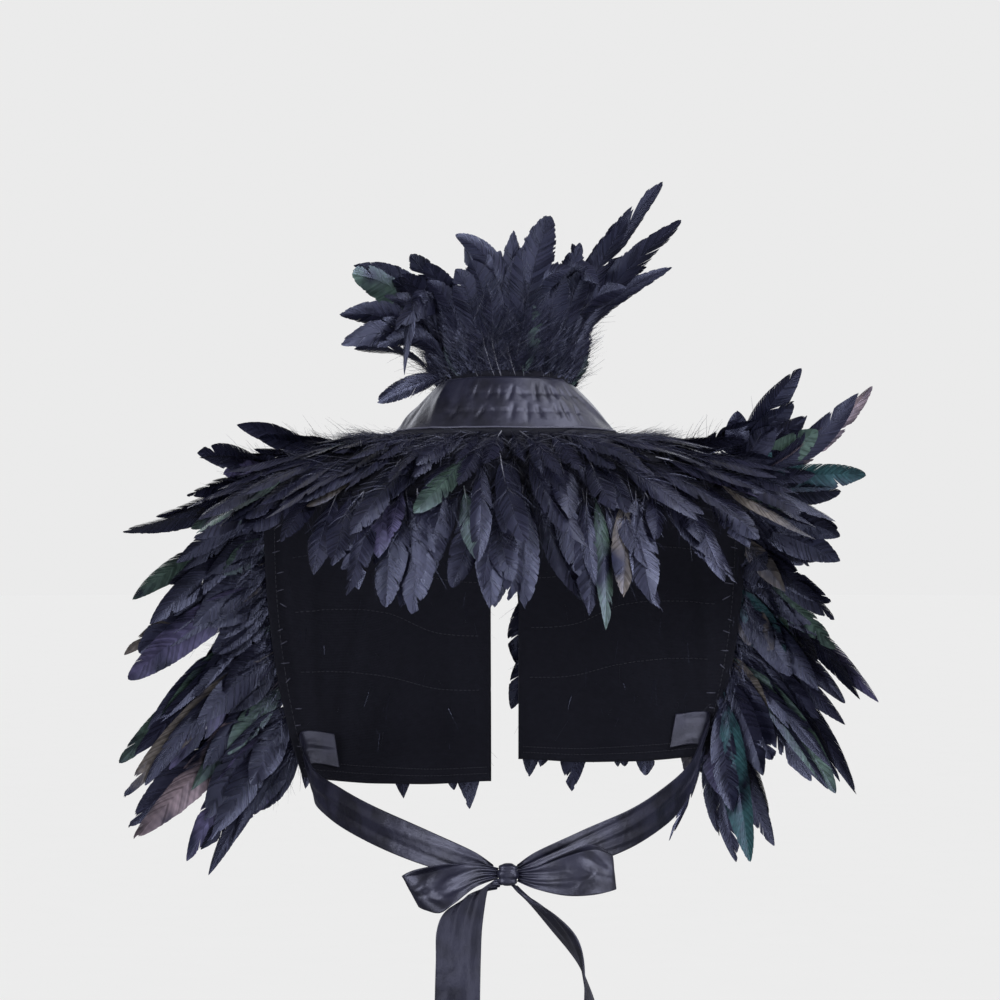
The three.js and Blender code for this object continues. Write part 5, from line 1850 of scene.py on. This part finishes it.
@dataclass
class BackFeathers:
    """The three rows on the yoke, with the feathers that show best below the neckband."""
    rows: tuple[YokeRow, ...] = (
        YokeRow("yoke_edge", 0.90, 0.93, 38, 74, 21, -4, 0.9, 40, 18, 0.1, 0.06),
        YokeRow("yoke_middle", 0.50, 0.95, 36, 74, 18, 5, 0.35, 60, 21, 0.1, 0.06),
        YokeRow("neckline", 0.13, 0.95, 40, 60, 14, 8, 0.2, 110, 24, 0.3, 0.22))
    form: VaneForm = VaneForm()
    dimming: float = 0.6

    def build(self, feathers: Feathers) -> None:
        """The rows from the yoke's edge in to the neck."""
        for number, row in enumerate(self.rows):
            place = across_at(row.line, -row.reach, row.reach)
            rail = on_cloth(FORM.yoke, YOKE_CORE, place)

            def aim(s: Array, k: Array, row: YokeRow = row, place: Place = place) -> Array:
                """Away from the neck, and down towards the middle of the back."""
                u, v = place(s)
                out = unit(FORM.yoke(u, v + 0.02) - FORM.yoke(u, v - 0.02))
                return out - UP * (row.sag * np.cos(np.radians(90 * u)))[:, None]

            seed = 300.0 + 17 * number
            even = row_plumes(rail, aim, row.count, row.length, row.width, row.lift, seed,
                              feathers.tape.root, bright=0.05, vary=0.4)
            form = replace(self.form, down=row.down, down_length=row.down_length, seed=seed,
                           pale_hairs=row.pale_hairs, ragged=row.ragged)
            batches = [(replace(even, tone=self.dimming * even.tone), form)]
            if row.name == "yoke_edge":
                best = hero_plumes(BACK_HEROES, rail, feathers.tape.root + 1.5, 1, seed + 5, 9)
                batches.append((best, form))
            feathers.row(f"feathers_{row.name}", rail, batches)


@dataclass
class CollarFeathers:
    """The collar: plumes that stand up from a tape inside the neckband's top edge."""
    ends: float = 160
    inset: float = 2.3
    rise: float = 0.5
    flare_out: Floats = (62, 66, 66, 30, 8, 22, 62, 66, 62)
    flare_up: Floats = (74, 76, 72, 90, 104, 100, 100, 84, 74)
    form: VaneForm = VaneForm(barbs=50, vane_start=0.2, sweep=0.16, ragged=0.08, splits=1,
                              quill_end=0.34, down=64, down_end=0.6, down_length=17)
    base: VaneForm = VaneForm(barbs=34, vane_start=0.02, sweep=0.22, ragged=0.3, splits=3,
                              camber=0.25, quill_end=0.1, down=110, down_end=0.8, down_length=15)

    def rail(self, s: Array) -> tuple[Array, Array, Array]:
        """The tape's line, inside the band's top edge.

        Feathers face backwards behind the neck, and forwards in front of it.
        """
        turn = mix(-self.ends, self.ends, np.asarray(s, float))
        r = np.radians(turn)
        inwards = vector(-np.sin(r), np.cos(r), 0)
        back = np.cos(r) + 0.9 * np.clip(3 * np.cos(r) + 1, -1, 1)
        face = unit(vector(0.6 * np.sin(r), -back, -0.25))
        return FORM.band.top(turn) + inwards * self.inset + UP * self.rise, inwards, face

    def ring(self, count: int, out_share: float, up_share: float, seed: float,
             width: float = 20.0) -> Plumes:
        """An even ring of plumes whose reach follows the flare.

        Args:
            count: how many.
            out_share: their share of the flare outwards.
            up_share: their share of the flare upwards.
            seed: turns the chances over.
            width: their usual width.
        Returns:
            The plumes.
        """
        k = np.arange(count)
        at = (k + 0.5 + jitter(k + seed, 0.3)) / count
        turn = mix(-self.ends, self.ends, at)
        share = (turn + 180) / 360
        way = np.radians(turn + jitter(k + seed + 5, 9))
        out = smooth_read(self.flare_out, share) * out_share * (1 + jitter(k + seed + 30, 0.22))
        up = smooth_read(self.flare_up, share) * up_share * (1 + jitter(k + seed + 60, 0.12))
        tip = FORM.band.top(turn) + vector(out * np.sin(way), -out * np.cos(way), up)
        point, inwards, face = self.rail(at)
        wide = width * (1 + jitter(k + seed + 90, 0.2))
        bend = np.clip(out / up, 0, 1)
        root = point + inwards * (1 + k % 2)[:, None]
        plumes = plumes_from(root, tip, face, wide, 0.02 - 0.40 * bend, 0.02 + 0.60 * bend,
                             usual_glints(count, seed, 0.03), seed, -inwards)
        bow = jitter(k + seed + 12, 0.22) * up
        return replace(plumes, knee=plumes.knee + unit(np.cross(UP, inwards)) * bow[:, None])

    def build(self, feathers: Feathers) -> None:
        """The heroes, an outer ring, and four inner rings that fill the column."""
        heroes = [replace(hero, at=(turn + self.ends) / (2 * self.ends))
                  for turn, hero in COLLAR_HEROES]
        best = hero_plumes(heroes, self.rail, 1.5, 0, 500.0)
        form = replace(self.form, seed=500.0)
        batches = [(best, form),
                   (self.ring(26, 0.85, 0.9, 520.0), form),
                   (self.ring(26, 0.4, 0.96, 560.0), form),
                   (self.ring(24, 0.15, 0.85, 600.0), form),
                   (self.ring(44, 0.10, 0.6, 640.0, 26), self.base),
                   (self.ring(34, 0.05, 0.42, 680.0, 26), replace(self.base, seed=9.0))]
        feathers.row("feathers_collar", self.rail, batches, Tape(9, 1.6, 0.3))


# The studio

@frozen
class Lamp:
    """A soft square light that faces the cape."""
    name: str
    place: Triple
    size: float
    power: float
    aim: Triple = (0, 0, -0.12)
    colour: Triple = (0.90, 0.93, 1.0)

    def build(self) -> None:
        """The light, turned to its aim."""
        data = bpy.data.lights.new(self.name, "AREA")
        data.energy = self.power
        data.color = self.colour
        data.size = self.size
        obj = bpy.data.objects.new(self.name, data)
        obj.location = self.place
        way = mathutils.Vector(self.aim) - mathutils.Vector(self.place)
        obj.rotation_euler = way.to_track_quat("-Z", "Y").to_euler()
        bpy.context.scene.collection.objects.link(obj)


@dataclass
class Studio:
    """A pale floor and surround, soft lights, and the camera behind the cape."""
    distance: float = 2.6
    aside: float = -0.0039
    height: float = -0.0546
    half_view: float = 0.39
    floor_height: float = -1.40
    floor_glow: float = 0.77
    pale: float = 0.83
    surround_light: float = 0.40
    floor_radius: float = 45.0
    floor_sides: int = 96
    floor_tones: Pair = (0.14, 0.16)
    lamps: tuple[Lamp, ...] = (
        Lamp("key", (1.15, -1.7, 1.15), 0.9, 47),
        Lamp("fill", (-1.6, -1.5, 0.35), 1.0, 36),
        Lamp("low", (0.3, -1.9, -1.0), 0.8, 9),
        Lamp("low_left", (-1.6, -1.2, -0.7), 0.7, 12),
        Lamp("low_right", (1.7, -1.1, -0.4), 0.7, 18),
        Lamp("top", (1.2, -0.2, 1.3), 0.9, 17),
        Lamp("front_right", (1.0, 1.7, 0.5), 1.1, 9),
        Lamp("front_left", (-1.1, 1.6, 0.4), 1.1, 9))

    def build(self) -> None:
        """Everything round the cape."""
        self.camera()
        self.surround()
        for lamp in self.lamps:
            lamp.build()

    def camera(self) -> None:
        """A level camera that looks along +Y and sees 780 mm at the neck."""
        data = bpy.data.cameras.new("camera")
        data.angle = 2 * float(np.arctan(self.half_view / self.distance))
        data.clip_end = 100
        obj = bpy.data.objects.new("camera", data)
        obj.location = (self.aside, -self.distance, self.height)
        obj.rotation_euler = (np.pi / 2, 0, 0)
        bpy.context.scene.collection.objects.link(obj)
        bpy.context.scene.camera = obj

    def surround(self) -> None:
        """The world's plain pale light, which the camera sees paler than the cape does."""
        world = bpy.data.worlds.new("pale_surround")
        world.use_nodes = True
        tree = world.node_tree
        seen = tree.nodes.new("ShaderNodeLightPath").outputs["Is Camera Ray"]
        level = tree.nodes.new("ShaderNodeMapRange")
        level.inputs["To Min"].default_value = self.surround_light
        level.inputs["To Max"].default_value = self.pale
        tree.links.new(seen, level.inputs["Value"])
        light = tree.nodes["Background"]
        light.inputs["Color"].default_value = (1, 1, 1, 1)
        tree.links.new(level.outputs["Result"], light.inputs["Strength"])
        bpy.context.scene.world = world
        bpy.context.scene.view_settings.view_transform = "Standard"
        self.floor()

    def floor(self) -> None:
        """A wide disc that glows a little where the camera sees it, so that it meets the surround."""
        n = self.floor_sides
        turn = np.linspace(0, 2 * np.pi, n, endpoint=False)
        ring = np.stack([self.floor_radius * np.cos(turn), self.floor_radius * np.sin(turn),
                         np.full(n, self.floor_height)], -1)
        points = np.concatenate([[[0, 0, self.floor_height]], ring])
        fan = np.stack([np.zeros(n, int), 1 + np.arange(n), 1 + (np.arange(n) + 1) % n], -1)
        floor = MeshParts(points, np.zeros((0, 4), int), fan).build("floor", smooth=False)
        bench = NodeBench("floor_pale")
        seen = bench.add("ShaderNodeLightPath").outputs["Is Camera Ray"]
        dark, light = ((tone, tone, tone) for tone in self.floor_tones)
        bench.set(Base_Color=bench.blend(bench.noise(6, 2), dark, light), Roughness=0.95,
                  Specular_IOR_Level=0.05, Emission_Color=(1, 1, 1, 1),
                  Emission_Strength=bench.sum("MULTIPLY", seen, self.floor_glow))
        floor.data.materials.append(bench.material)


def main() -> None:
    """Builds the studio and the cape, piece by piece."""
    logging.basicConfig(level=logging.INFO, format="%(message)s")
    Studio().build()
    finishes = Finishes.made()
    Neckband().build(finishes)
    KnitBody().build(finishes)
    Ribbons().build(finishes)
    feathers = Feathers(finishes)
    for side in Side:
        EdgeFeathers().build(side, feathers)
        FrontFeathers().build(side, feathers)
    BackFeathers().build(feathers)
    CollarFeathers().build(feathers)
    feathers.finish()


if __name__ == "__main__":
    main()
